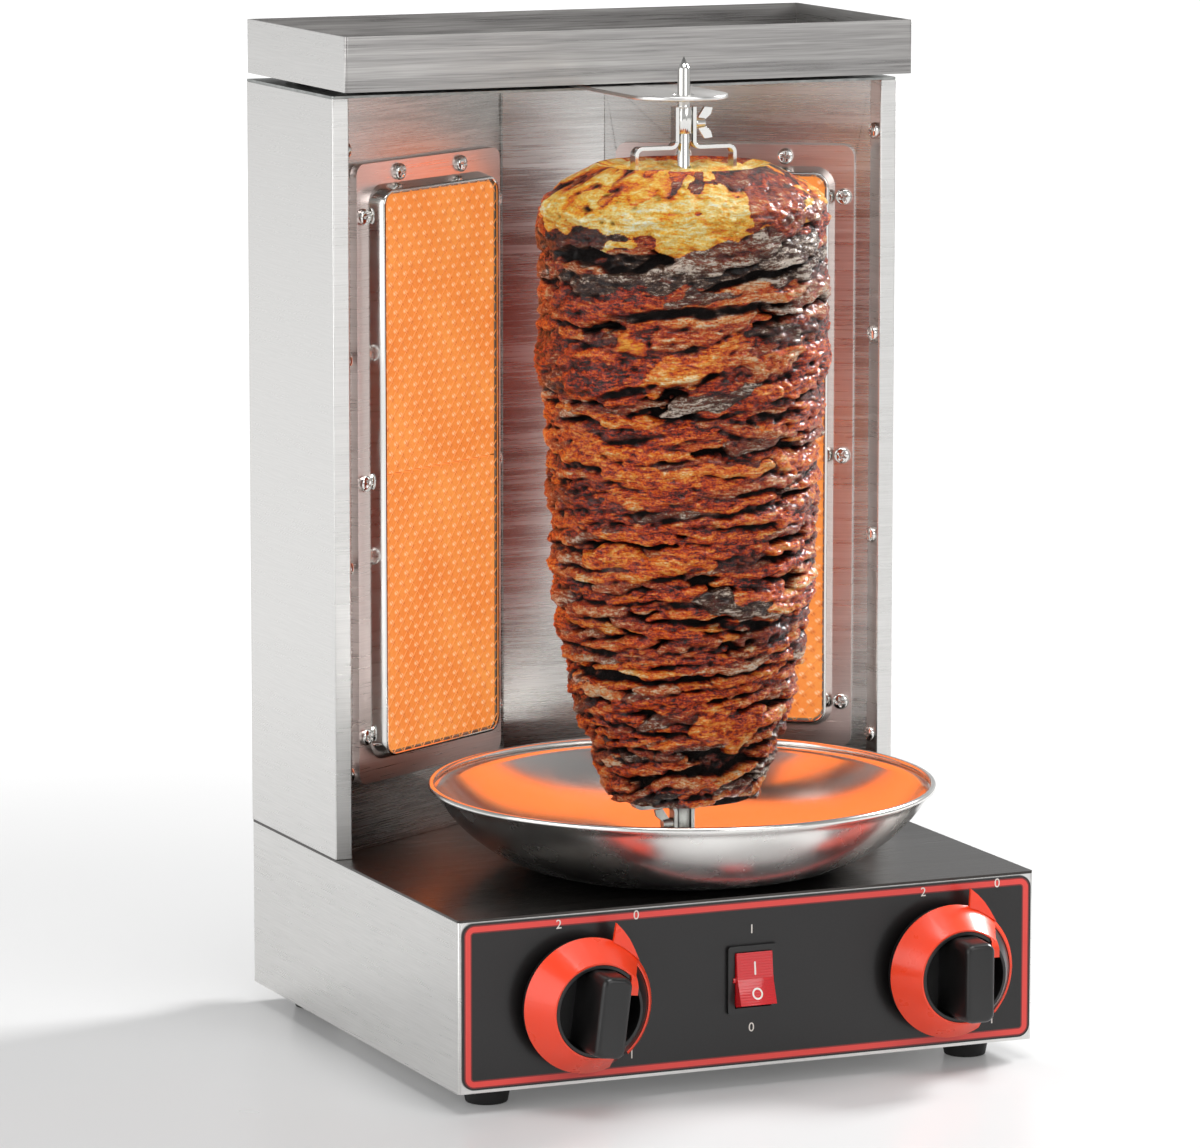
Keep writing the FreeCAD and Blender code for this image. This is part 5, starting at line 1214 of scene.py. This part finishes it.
@dataclass
class Knob:
    """One gas knob: black grip and orange dial ring."""

    side: Side
    centre_x: float
    lean: float
    centre_z: float = 0.0495
    bore: float = 0.004
    gap: float = 0.0036
    skirt: float = 0.0315
    skirt_reach: float = 0.009
    crown: float = 0.022
    crown_reach: float = 0.0235
    rim: float = 0.0202
    floor: float = 0.012
    grip_reach: float = 0.041
    grip_length: float = 0.040
    grip_width: float = 0.015
    ring_wall: float = 0.001
    ring_edge: float = 0.00025
    ring_seat: float = 0.00016
    ring_start: float = 45.0
    ring_sweep: float = 252.0
    trace_width: float = 0.003
    pointer: float = 0.041
    pointer_angle: float = 13.0
    index_width: float = 0.004
    index_length: float = 0.014

    def _keep(self, name: str, mesh: Mesh, material: bpy.types.Material, sharp: float) -> None:
        """Keep one part of the knob, which moves with it and stands in for the node of its name."""
        place = facing(self.centre_x, PANEL_Y, self.centre_z, self.lean)
        node = f"{self.side.prefix}_{name}"
        thing = make_mesh(node + "_moulded", *moved(mesh, place), material, sharp)
        dress(thing, f"{self.side.prefix}_knob_body", node)

    def grip(self, material: bpy.types.Material) -> None:
        """Build the black part."""
        s, c, reach, top = self.skirt, self.crown, self.skirt_reach, self.crown_reach
        profile = [
            (self.bore, self.gap), (s - 0.001, self.gap), (s - 0.0003, self.gap + 0.0003),
            (s, self.gap + 0.001), (s, reach - 0.0004), (s - 0.0005, reach + 0.0004),
            (c + 0.0004, top - 0.0006), (c - 0.0002, top), (self.rim + 0.0003, top),
            (self.rim - 0.0001, top - 0.0004), (self.rim - 0.001, self.floor + 0.0006),
            (self.rim - 0.0016, self.floor), (self.bore, self.floor),
        ]
        half_l, half_w = self.grip_length / 2, self.grip_width / 2
        levels = ((self.floor - 0.001, 1.13, 0.0), (self.floor + 0.012, 1.07, 0.0002),
                  (self.grip_reach - 0.003, 1.0, 0.0007), (self.grip_reach - 0.0012, 0.96, 0.0011),
                  (self.grip_reach - 0.0003, 0.88, 0.0019), (self.grip_reach, 0.72, 0.003))
        rings = []
        for level, wide, short in levels:
            outline = rounded_outline(half_w * wide, half_l - short, half_w * wide * 0.55, 8)
            rings.append([(x, y, level) for x, y in outline])
        self._keep("knob", join(lathe(profile), skin(rings)), material, 45.0)

    def _cone(self, share: float, lift: float = 0.0) -> Flat:
        """Radius and reach on the cone: share 0 at the skirt and 1 at the crown."""
        r = self.skirt + (self.crown - self.skirt) * share
        z = self.skirt_reach + (self.crown_reach - self.skirt_reach) * share
        return r + lift, z

    def _band(self, start: float, sweep: float, high: float) -> Mesh:
        """A strip of the dial ring from the skirt up, between two angles clockwise from the top."""
        steps = max(4, int(abs(sweep) / 3))
        top, low = self.ring_wall, self.ring_wall - self.ring_edge
        edge = self.ring_edge / high * 0.06
        section = [self._cone(0.0, self.ring_seat), self._cone(0.0, low), self._cone(edge, top),
                   self._cone(high - edge, top), self._cone(high, low), self._cone(high, self.ring_seat)]
        rings = []
        for k in range(steps + 1):
            a = math.radians(start + sweep * k / steps)
            rings.append([(r * math.sin(a), r * math.cos(a), z) for r, z in section])
        return skin(rings)

    def ring(self, material: bpy.types.Material) -> None:
        """Build the orange ring with its pointer, closing arc and index bar."""
        thin = self.trace_width / (self.crown_reach - self.skirt_reach)
        tip, swell = self.pointer_angle, (self.pointer + self.skirt) / 2
        edge = [(self.pointer, tip), (swell + 0.0026, tip + 7), (swell + 0.0006, tip + 14),
                (swell - 0.0014, tip + 21), (self.skirt + self.ring_wall, self.ring_start)]
        edge += [(self.skirt + 0.0003, a) for a in (self.ring_start - 8, tip + 17, tip + 10, tip + 3)]
        corners = [(r * math.sin(math.radians(a)), r * math.cos(math.radians(a))) for r, a in edge]
        reach = self.skirt_reach
        parts = (self._band(self.ring_start, -self.ring_sweep, 1.0),
                 self._band(self.ring_start - 1, 90.0, thin),
                 prism(corners[::-1], reach, reach + self.ring_wall * 1.6),
                 self._bar())
        self._keep("dial_ring", join(*parts), material, 40.0)

    def _bar(self) -> Mesh:
        """The raised index bar, laid on the cone."""
        angle = math.radians(self.ring_start)
        left = self.crown * math.sin(angle) - self.index_width / 2
        top = self.crown * math.cos(angle) + self.index_length / 2
        right, wall = left + self.index_width, self.ring_wall
        rings = []
        for k in range(8):
            y = top - self.index_length * k / 7
            row = []
            for x, lift in ((left, 0.0), (right, 0.0), (right, wall), (left, wall)):
                r = min(max(math.hypot(x, y), self.crown), self.skirt)
                share = (self.skirt - r) / (self.skirt - self.crown)
                row.append((x, y, self._cone(share)[1] + lift * 1.2 + 0.0002))
            rings.append(row)
        return skin(rings)


@dataclass(frozen=True)
class Slice:
    """The outer end of one slice of meat, as it lies in the heap."""

    turn: float
    share: float
    wide: float
    thick: float
    slant: float
    out: float
    burnt: float
    fat: float
    wave: float = 0.0
    shade: float = 0.0
    # hollow: a cavity dug in and darkened, painted shade
    hollow: bool = False


@dataclass
class Meat:
    """Slices of meat heaped on the spit."""

    # relief carries painted shade and highlight: low in crevices and pits, high on crests; shade is each
    # slice's own tone.
    layers = ("relief", "shade", "burnt", "fat")
    foot: float = 0.035
    top: float = 0.341
    rows: int = 600
    columns: int = 560
    bands: int = 4
    cap_rows: int = 24
    seed: int = 11
    heights: tuple = (0.0, 0.15, 0.32, 0.63, 0.87, 0.925, 0.96, 0.985, 1.0)
    radii: tuple = (0.037, 0.054, 0.0635, 0.0678, 0.0725, 0.0705, 0.0665, 0.0560, 0.0330)
    samples: int = 60
    limit: float = 0.0722
    margin: float = 0.0038
    around: float = 0.065
    small_slices: int = 1250
    big_slices: int = 60
    big_from: float = 0.66
    bulge: float = 0.0033
    gap: float = 0.0042
    relief_depth: float = 0.0030
    crest: float = 0.0034
    lean_edge: float = 0.9
    bore: float = 0.0034
    lumps: float = 0.0036
    ripple: float = 0.0014
    pebble: float = 0.0012
    top_fringe: float = 0.03
    foot_fringe: float = 0.02
    pit_depth: float = 0.02
    full_thick: float = 0.012
    droop: float = 0.0008
    waves_per_metre: Flat = (160.0, 390.0)
    front: float = -114.2
    shown: tuple = (
        Slice(-10, 0.945, 0.060, 0.021, 0.02, 0.0020, 0.0, 1.2),
        Slice(-46, 0.925, 0.034, 0.013, 0.05, 0.0010, 0.1, 0.9),
        Slice(38, 0.945, 0.030, 0.014, 0.10, 0.0016, 0.55, 0.45),
        Slice(20, 0.885, 0.032, 0.010, 0.26, 0.0030, 0.9, 0.0, shade=0.12),
        Slice(50, 0.868, 0.022, 0.010, 0.22, 0.0032, 1.0, 0.0, shade=0.10),
        Slice(-22, 0.838, 0.040, 0.008, -0.02, 0.0018, 1.1, 0.0, shade=0.04),
        Slice(40, 0.822, 0.026, 0.006, 0.10, 0.0022, 0.4, 0.1, shade=0.06),
        Slice(6, 0.812, 0.026, 0.006, 0.12, 0.0014, 0.9, 0.0),
        Slice(-20, 0.740, 0.008, 0.006, 0.10, 0.0026, 0.0, 0.7),
        Slice(-46, 0.712, 0.020, 0.007, 0.05, 0.0010, 0.2, 0.5),
        Slice(0, 0.704, 0.022, 0.009, 0.36, 0.0030, -0.1, 0.45, shade=0.12),
        Slice(12, 0.655, 0.024, 0.006, 0.26, 0.0016, 1.0, 0.0, shade=0.1),
        Slice(-34, 0.555, 0.042, 0.006, -0.12, 0.0014, -0.2, 0.25, shade=0.1),
        Slice(-20, 0.400, 0.038, 0.006, -0.04, 0.0012, -0.2, 0.25, shade=0.08),
        Slice(24, 0.330, 0.024, 0.006, -0.06, 0.0016, 1.0, 0.0),
        Slice(26, 0.130, 0.026, 0.010, 0.10, 0.0014, 0.0, 0.4, shade=0.05),
        Slice(-34, 0.868, 0.034, 0.0045, -0.06, 0.0060, 1.0, 0.0, hollow=True),
        Slice(6, 0.790, 0.040, 0.0026, 0.05, 0.0040, 1.0, 0.0, hollow=True),
        Slice(34, 0.845, 0.030, 0.0022, 0.20, 0.0040, 1.0, 0.0, hollow=True),
        Slice(-12, 0.672, 0.030, 0.0026, 0.20, 0.0035, 1.0, 0.0, hollow=True),
        Slice(40, 0.622, 0.020, 0.0026, 0.06, 0.0035, 1.0, 0.0, hollow=True),
        Slice(20, 0.300, 0.026, 0.0028, -0.06, 0.0040, 1.0, 0.0, hollow=True),
    )

    def build(self, material: bpy.types.Material) -> None:
        """Build the heap and let it turn with the spit."""
        shares = np.linspace(0, 1, self.rows + 1)
        turns = np.linspace(0, 2 * math.pi, self.columns, endpoint=False)
        base = np.interp(shares, np.linspace(0, 1, self.samples), self._outline())
        base = np.minimum(base, self.limit - self.crest)
        rough = self._noise_grids(shares, turns)
        out, shade, burnt, fat = self._heap(shares, turns, rough)
        out += rough[1] * self.ripple + rough[2] * self.pebble
        calm_top = np.clip((1 - shares) / self.top_fringe, 0.3, 1)
        calm_foot = np.clip(shares / self.foot_fringe, 0.5, 1)
        fringe = calm_top[:, None] * calm_foot[:, None]
        radius = np.minimum(base[:, None] + (out - self.margin) * fringe, self.limit)
        # Painted shade: relief falls in crevices and pits and rises on crests, for the material to darken and
        # lighten.
        local = out - self._blurred(out)
        pits = np.minimum(out, 0) / self.pit_depth
        relief = np.clip(0.5 + local / self.relief_depth + pits, 0, 1)
        level = np.broadcast_to((self.foot + (self.top - self.foot) * shares)[:, None], radius.shape)
        grids = (radius * np.cos(turns), radius * np.sin(turns), level, relief, shade, burnt, fat)
        rows = list(np.stack(grids, -1))
        per_band = self.rows // self.bands
        for band in range(self.bands):
            part = rows[band * per_band : (band + 1) * per_band + 1]
            if band == 0:
                part = self._cap(part[0], -1)[::-1] + part
            if band == self.bands - 1:
                part = part + self._cap(part[-1], 1)
            self._mesh(f"meat_heap_{band + 1}", part, material)

    def _outline(self) -> np.ndarray:
        """Radii at even heights along a smooth outline."""
        radii = np.interp(np.linspace(0, 1, self.samples), self.heights, self.radii)
        kernel = np.array([1, 2, 3, 2, 1]) / 9
        return np.convolve(np.pad(radii, 2, "edge"), kernel, "valid")

    @staticmethod
    def _blurred(grid: np.ndarray, high: int = 9, wide: int = 5) -> np.ndarray:
        """Mean of a grid's neighbours, a few rows up and down and columns round it."""
        tall = np.pad(grid, ((high, high), (0, 0)), "edge")
        mean = sum(tall[k : k + len(grid)] for k in range(2 * high + 1)) / (2 * high + 1)
        return sum(np.roll(mean, k, 1) for k in range(-wide, wide + 1)) / (2 * wide + 1)

    @staticmethod
    def _noise_grids(shares: np.ndarray, turns: np.ndarray) -> list[np.ndarray]:
        """Noise on the heap's skin at three sizes, the first the broadest."""
        grids = []
        for round_scale, high_scale in ((2.2, 9.0), (6.5, 62.0), (18.0, 150.0)):
            ring = [(math.cos(turn) * round_scale, math.sin(turn) * round_scale) for turn in turns]
            grids.append(np.array([
                [noise.noise(Vector((x, y, share * high_scale))) for x, y in ring] for share in shares]))
        return grids

    def _slices(self) -> list[Slice]:
        """All slices: scattered ones, larger to the top, and those that the front shows."""
        rng = np.random.default_rng(self.seed)
        slices = []
        for _ in range(self.small_slices):
            share = rng.random()
            grow = 1.0 + 0.5 * share
            slices.append(Slice(
                rng.uniform(0, 360), share, rng.uniform(0.009, 0.034) * grow,
                rng.uniform(0.0017, 0.0036) * grow, rng.normal(0.05, 0.08),
                rng.uniform(-0.0024, 0.0018), self._char(rng, share), rng.random() ** 3 * 0.36,
                rng.uniform(0, 50), rng.normal(0, 0.05)))
        for _ in range(self.big_slices):
            share = rng.uniform(self.big_from, 1.0)
            slices.append(Slice(
                rng.uniform(0, 360), share, rng.uniform(0.020, 0.045),
                rng.uniform(0.006, 0.011), rng.normal(0.08, 0.1),
                rng.uniform(-0.001, 0.0028), self._char(rng, share),
                1.0 if share > 0.93 else rng.random() ** 3 * 0.4,
                rng.uniform(0, 50), rng.normal(0, 0.07)))
        return slices + [replace(piece, turn=self.front + piece.turn) for piece in self.shown]

    @staticmethod
    def _char(rng: np.random.Generator, share: float) -> float:
        """How burnt a slice is: more so below the top and at the foot."""
        near_top = math.exp(-(((share - 0.84) / 0.08) ** 2))
        near_foot = math.exp(-(((share - 0.05) / 0.08) ** 2))
        return rng.random() ** 1.7 * 0.85 + 0.35 * near_top + 0.25 * near_foot

    def _heap(self, shares: np.ndarray, turns: np.ndarray, rough: list[np.ndarray]) -> list[np.ndarray]:
        """Lay the slices over each other: the one that stands out furthest shows.

        Args:
            shares: Heights of the rows as shares of the heap.
            turns: Turns of the columns in radians.
            rough: Noise at three sizes.

        Returns:
            How far the skin stands out, its shade, its char and its fat, by row and column.
        """
        span = self.top - self.foot
        out, shade, burnt, fat = (
            np.full((len(shares), len(turns)), value) for value in (-self.gap, 0.0, 0.8, 0.0))
        for piece in self._slices():
            reach = piece.thick * 1.6 + abs(piece.slant) * piece.wide
            rows = np.nonzero(np.abs(shares - piece.share) * span < reach)[0]
            if not len(rows):
                continue
            cut = slice(rows[0], rows[-1] + 1)
            broad, middling = rough[0][cut], rough[1][cut]
            away = (turns - math.radians(piece.turn) + math.pi) % (2 * math.pi) - math.pi
            along = away[None, :] * self.around
            long_wave, short_wave = (along * pace for pace in self.waves_per_metre)
            sway = np.sin(long_wave + piece.wave) + 0.6 * np.sin(short_wave + piece.wave * 3)
            rise = (shares[cut, None] - piece.share) * span - piece.slant * along
            level = (rise + piece.thick * (0.22 * sway + 0.5 * broad + 0.45 * middling)) / piece.thick
            shape = 1 - np.abs(along / piece.wide + 0.35 * middling) ** 3 - level**2
            lump = np.sqrt(np.clip(shape, 0, 1))
            # A hollow digs a cavity and darkens it with char and no fat: painted shade under the slice above.
            if piece.hollow:
                out[cut] -= piece.out * lump
                burnt[cut] += 0.6 * lump
                fat[cut] -= lump
                continue
            swell = self.bulge * min(1.0, 0.55 + piece.thick / self.full_thick)
            stand = piece.out + swell * lump - self.droop * level
            over = (shape > 0) & (stand > out[cut])
            for grid, value in (
                (out, stand), (shade, piece.shade), (burnt, piece.burnt + 0.25 * (1 - lump)),
                (fat, piece.fat - self.lean_edge * (1 - lump)),
            ):
                grid[cut] = np.where(over, value, grid[cut])
        return [out, shade, burnt, fat]

    def _cap(self, edge: np.ndarray, end: int) -> list:
        """Rings that close the heap towards the spit, outermost first."""
        rings = []
        for ring in range(1, self.cap_rows + 1):
            share = 1 - ring / self.cap_rows
            blend = min(1.0, (1 - share) * 3)
            row = []
            for x, y, z, _, shade, burnt, fat in edge:
                keep = share + (1 - share) * self.bore / math.hypot(x, y)
                lump = noise.turbulence(Vector((x * keep * 60, y * keep * 60, end * 5)), 3, False) - 0.6
                level = z - end * abs(lump) * self.lumps * min(1.0, (1 - share) * 6)
                fat_here = fat * (1 - blend) + blend * (1.0 if end > 0 else 0.2)
                row.append((x * keep, y * keep, min(max(level, self.foot), self.top),
                            0.6 - lump * 0.4, shade * share, burnt * share, fat_here))
            rings.append(row)
        return rings

    def _mesh(self, name: str, rows: list, material: bpy.types.Material) -> None:
        """Keep one band of rows as a mesh."""
        cells = [cell for row in rows for cell in row]
        mesh = bpy.data.meshes.new(name)
        mesh.from_pydata([tuple(ON_SPIT @ Vector(cell[:3])) for cell in cells], [],
                         ring_faces(len(rows), self.columns))
        for slot, label in enumerate(self.layers, 3):
            values = [float(cell[slot]) for cell in cells]
            mesh.attributes.new(label, "FLOAT", "POINT").data.foreach_set("value", values)
        mesh.shade_smooth()
        mesh.materials.append(material)
        dress(link(name, mesh), "spit", "meat")


@dataclass
class Spit:
    """Turned rod of the spit, flat below and pointed above."""

    radius: float = 0.003
    top: float = 0.3923
    point: float = 0.0062
    shoulder: float = 0.01205
    tang: float = 0.0088
    tang_half: float = 0.002

    def build(self, material: bpy.types.Material) -> None:
        """Build the rod and let it turn with the meat."""
        r, top, wide, thin = self.radius, self.top, self.radius * 0.97, self.tang_half
        profile = [(0.0, self.shoulder), (r, self.shoulder), (r, top - self.point),
                   (r * 0.93, top - self.point + 0.0006), (0.0, top)]
        flat = prism([(-wide, -thin), (wide, -thin), (wide, thin), (-wide, thin)],
                     self.tang, self.shoulder + 0.001)
        mesh = moved(join(lathe(profile, 48), flat), ON_SPIT)
        dress(make_mesh("spit_rod_turned", *mesh, material, 30.0), "spit", "spit_rod")


@dataclass
class Print:
    """Plain figures on the front panel."""

    ink: bpy.types.Material
    size: float = 0.0062
    proud: float = 0.00006
    lift: float = 0.00002
    spots: tuple = (("2", -11.0, 37.8), ("0", 28.6, 39.0), ("1", 26.4, -27.8))
    switch_z: float = 0.053
    switch_spots: tuple = (("1", 0.0238), ("0", -0.0238))

    def figure(self, name: str, text: str, x: float, z: float) -> None:
        """Set one figure on the panel.

        Args:
            name: The piece's name.
            text: What it reads.
            x: Its middle along X.
            z: Its middle height.
        """
        curve = bpy.data.curves.new(name, "FONT")
        curve.body = text
        curve.size = self.size
        curve.align_x = "CENTER"
        curve.align_y = "CENTER"
        curve.extrude = self.proud / 2
        holder = link(name + "_curve", curve)
        mesh = plain_mesh(holder)
        mesh.transform(facing(x, PANEL_Y - self.proud / 2 - self.lift, z))
        mesh.materials.clear()
        mesh.materials.append(self.ink)
        bpy.data.objects.remove(holder)
        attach(link(name, mesh), "frame")

    def build(self, knobs: Sequence[Knob]) -> None:
        """Print the figures round each knob and at the switch."""
        for knob in knobs:
            for text, dx, dz in self.spots:
                self.figure(f"{knob.side.prefix}_figure_{text}", text,
                            knob.centre_x + dx * MM, knob.centre_z + dz * MM)
        for text, rise in self.switch_spots:
            self.figure(f"switch_figure_{text}", text, 0.0, self.switch_z + rise)


@dataclass(frozen=True)
class SoftBox:
    """One soft light."""

    name: str
    at: Point
    size: Flat
    power: float
    aim: Point = (0.0, 0.0, 0.25)
    colour: str = WHITE

    def build(self) -> None:
        """Hang the light."""
        data = bpy.data.lights.new(self.name, "AREA")
        data.shape = "RECTANGLE"
        data.size, data.size_y = self.size
        data.energy = self.power
        data.color = linear(self.colour)[:3]
        lamp = link(self.name, data)
        lamp.location = self.at
        lamp.rotation_euler = (Vector(self.aim) - Vector(self.at)).to_track_quat("-Z", "Y").to_euler()


@dataclass
class Studio:
    """Pale floor, soft lights, the burners' glow and the camera."""

    burners: BurnerPlace
    camera_at: Point = (-1.2938, -2.9210, 0.72765)
    azimuth: float = 23.48
    elevation: float = 8.86
    roll: float = 0.03
    lens: float = 198.9
    floor_colour: str = "#c6c6c6"
    floor_half: float = 8.0
    floor_z: float = -0.0002
    near: float = 0.45
    far: float = 1.1
    glow: float = 0.1
    room: float = 0.7
    sky: tuple = ((0.0, "#9a9a9a"), (0.47, "#bdbdbd"), (0.52, "#f2f2f2"), (0.7, "#cfcfcf"),
                  (1.0, "#9a9a9a"))
    lights: tuple = (
        SoftBox("left", (-2.2, -0.4, 1.0), (2.4, 1.8), 24.0),
        SoftBox("front", (0.5, -2.4, 1.3), (1.6, 1.2), 13.0),
        SoftBox("right", (2.1, 0.5, 1.6), (0.7, 0.7), 94.0),
        SoftBox("top", (-0.1, -0.7, 2.3), (1.4, 1.2), 30.0),
    )

    def camera(self) -> None:
        """Set the camera where the photo was taken."""
        data = bpy.data.cameras.new("camera")
        data.lens = self.lens
        data.sensor_width = 36.0
        data.clip_start = 0.1
        data.clip_end = 50.0
        az, el = math.radians(self.azimuth), math.radians(self.elevation)
        ahead = Vector((math.sin(az) * math.cos(el), math.cos(az) * math.cos(el), -math.sin(el)))
        turn = ahead.to_track_quat("-Z", "Y").to_matrix().to_4x4()
        camera = link("camera", data)
        camera.matrix_world = (Matrix.Translation(self.camera_at) @ turn
                               @ Matrix.Rotation(math.radians(self.roll), 4, "Z"))
        bpy.context.scene.camera = camera

    def floor(self) -> None:
        """Lay the floor, which brightens to white away from the grill."""
        g = Surface("studio floor, satin white")
        away = g.out("ShaderNodeVectorMath", {0: g.place()}, "Value", operation="LENGTH")
        limits = {0: away, 1: self.near, 2: self.far}
        fade = g.out("ShaderNodeMapRange", limits, interpolation_type="SMOOTHSTEP")
        material = g.finish(
            Base_Color=g.mix(fade, linear(self.floor_colour), linear("#000000")),
            Roughness=g.spread(g.noise(g.place(), 3.0, 3.0), 0.26, 0.32),
            Specular_IOR_Level=0.3,
            Emission_Color=linear(WHITE),
            Emission_Strength=fade * (1.0 - self.glow) + self.glow,
        )
        half, z = self.floor_half, self.floor_z
        corners = [(x, y, z) for x, y in ((-half, -half), (half, -half), (half, half), (-half, half))]
        make_mesh("floor", np.array(corners), [[0, 1, 2, 3]], material)

    def world(self) -> None:
        """Fill the room: white to the eye, graded in reflections."""
        world = bpy.data.worlds.new("studio")
        bpy.context.scene.world = world
        world.use_nodes = True
        g = Graph(world.node_tree)
        up = g.axis(g.out("ShaderNodeTexCoord", output="Generated"), "Z")
        sky = g.ramp(g.between(up, -1.0, 1.0), self.sky)
        felt = g.out("ShaderNodeBackground", {"Color": sky, "Strength": self.room})
        seen = g.out("ShaderNodeBackground", {"Color": linear(WHITE)})
        eye = g.out("ShaderNodeLightPath", output="Is Camera Ray")
        g.add("ShaderNodeOutputWorld", {"Surface": g.out("ShaderNodeMixShader", {0: eye, 1: felt, 2: seen})})

    def build(self) -> None:
        """Set up camera, floor, lights and room."""
        self.camera()
        self.floor()
        self.world()
        for light in self.lights:
            light.build()
        burners = self.burners
        for side in Side:
            place = burners.matrix(side)
            start, end = (tuple(place @ Vector((0, -y, 0))) for y in (burners.glow_front, 1.0))
            SoftBox(f"{side.prefix}_burner_glow", start, burners.glow_size, burners.glow_power,
                    end, burners.glow_colour).build()
        bpy.context.scene.view_settings.view_transform = "Standard"


@dataclass
class Grill:
    """The whole grill: finishes for the frame's nodes and detailed pieces on top."""

    finishes: dict[str, bpy.types.Material]
    copier: CopyNodes
    place: BurnerPlace = field(default_factory=BurnerPlace)
    plan: tuple = (
        ("case", 0.4, "base_shell spit_bracket"), ("case", 0.3, "*_side_panel"), ("case", 0, "rear_panel"),
        ("back", 0.2, "centre_panel *_wing_panel"), ("plate", 0.8, "*_burner_plate"),
        ("cap", 0.5, "top_cap"), ("deck", 0.3, "deck_plate"), ("panel", 0.2, "control_panel"),
        ("polished", 0, "wall_screws rear_screws cap_screws motor_shaft spit_rod"),
        ("polished", 0, "*_burner_bezel *_burner_screws *_stem"),
        ("polished", 0.3, "drive_socket upper_fork"), ("polished", 0.4, "upper_wing_screw"),
        ("zinc", 0, "bottom_plate base_screws cap_spacers gearmotor motor_mount *_burner_box"),
        ("zinc", 0.3, "top_plate lower_fork"), ("zinc", 0.4, "lower_wing_screw"),
        ("brass", 0, "manifold_pipe *_gas_pipe *_valve_body *_valve_plug"),
        ("brass", 0.3, "deck_bush gas_inlet"), ("black", 0, "*_knob"),
        ("black", 0.4, "switch_housing cable_gland"), ("rubber", 0.6, "feet"), ("red", 0.6, "rocker"),
        ("meat", 0, "meat"), ("pan", 0, "drip_pan"), ("wire", 0, "*_burner_net"),
        ("ceramic", 0, "*_burner_ceramics"), ("orange", 0, "*_dial_ring"),
    )

    def paint(self) -> None:
        """Give every CAD node its finish and, where the plan has a width in mm, soft edges."""
        for finish, width, names in self.plan:
            nodes = [name.replace("*", side.prefix) for side in Side for name in names.split()]
            for name in dict.fromkeys(nodes):
                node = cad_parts[name]
                node.data.materials.clear()
                node.data.materials.append(self.finishes[finish])
                if width:
                    soften(node, width * MM)
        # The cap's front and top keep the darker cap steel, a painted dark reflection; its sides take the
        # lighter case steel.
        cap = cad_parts["top_cap"].data
        cap.materials.append(self.finishes["case"])
        for face in cap.polygons:
            if abs(face.normal.x) > SIDEWAYS:
                face.material_index = 1

    def screws(self) -> None:
        """Stand in for the screws that show."""
        screws = Screws(self.copier, self.finishes["polished"])
        rows = ScrewRows()
        for side in Side:
            screws.build(f"{side.prefix}_burner_screws", rows.plate(self.place.matrix(side)))
        screws.build("wall_screws", rows.walls())
        screws.build("rear_screws", rows.rear())
        screws.build("cap_screws", rows.cap())

    def build(self) -> None:
        """Build everything in order."""
        f = self.finishes
        self.paint()
        self.screws()
        for side in Side:
            burner = Burner(side, self.place.matrix(side), self.copier)
            burner.tiles(f["ceramic"])
            burner.net(f["wire"])
            burner.bezel(f["polished"])
        knobs = [Knob(Side.LEFT, -0.0885, 7.0), Knob(Side.RIGHT, 0.1015, 0.0)]
        for knob in knobs:
            knob.grip(f["black"])
            knob.ring(f["orange"])
        DripPan().build(f["pan"])
        Spit().build(f["polished"])
        Meat().build(f["meat"])
        Print(f["ink"]).build(knobs)


def main() -> None:
    """Build the grill and its studio."""
    logging.basicConfig(level=logging.INFO)
    grill = Grill(Finishes().build(), CopyNodes())
    log.info("finishes made: %d", len(grill.finishes))
    grill.build()
    Studio(grill.place).build()


if __name__ == "__main__":
    main()
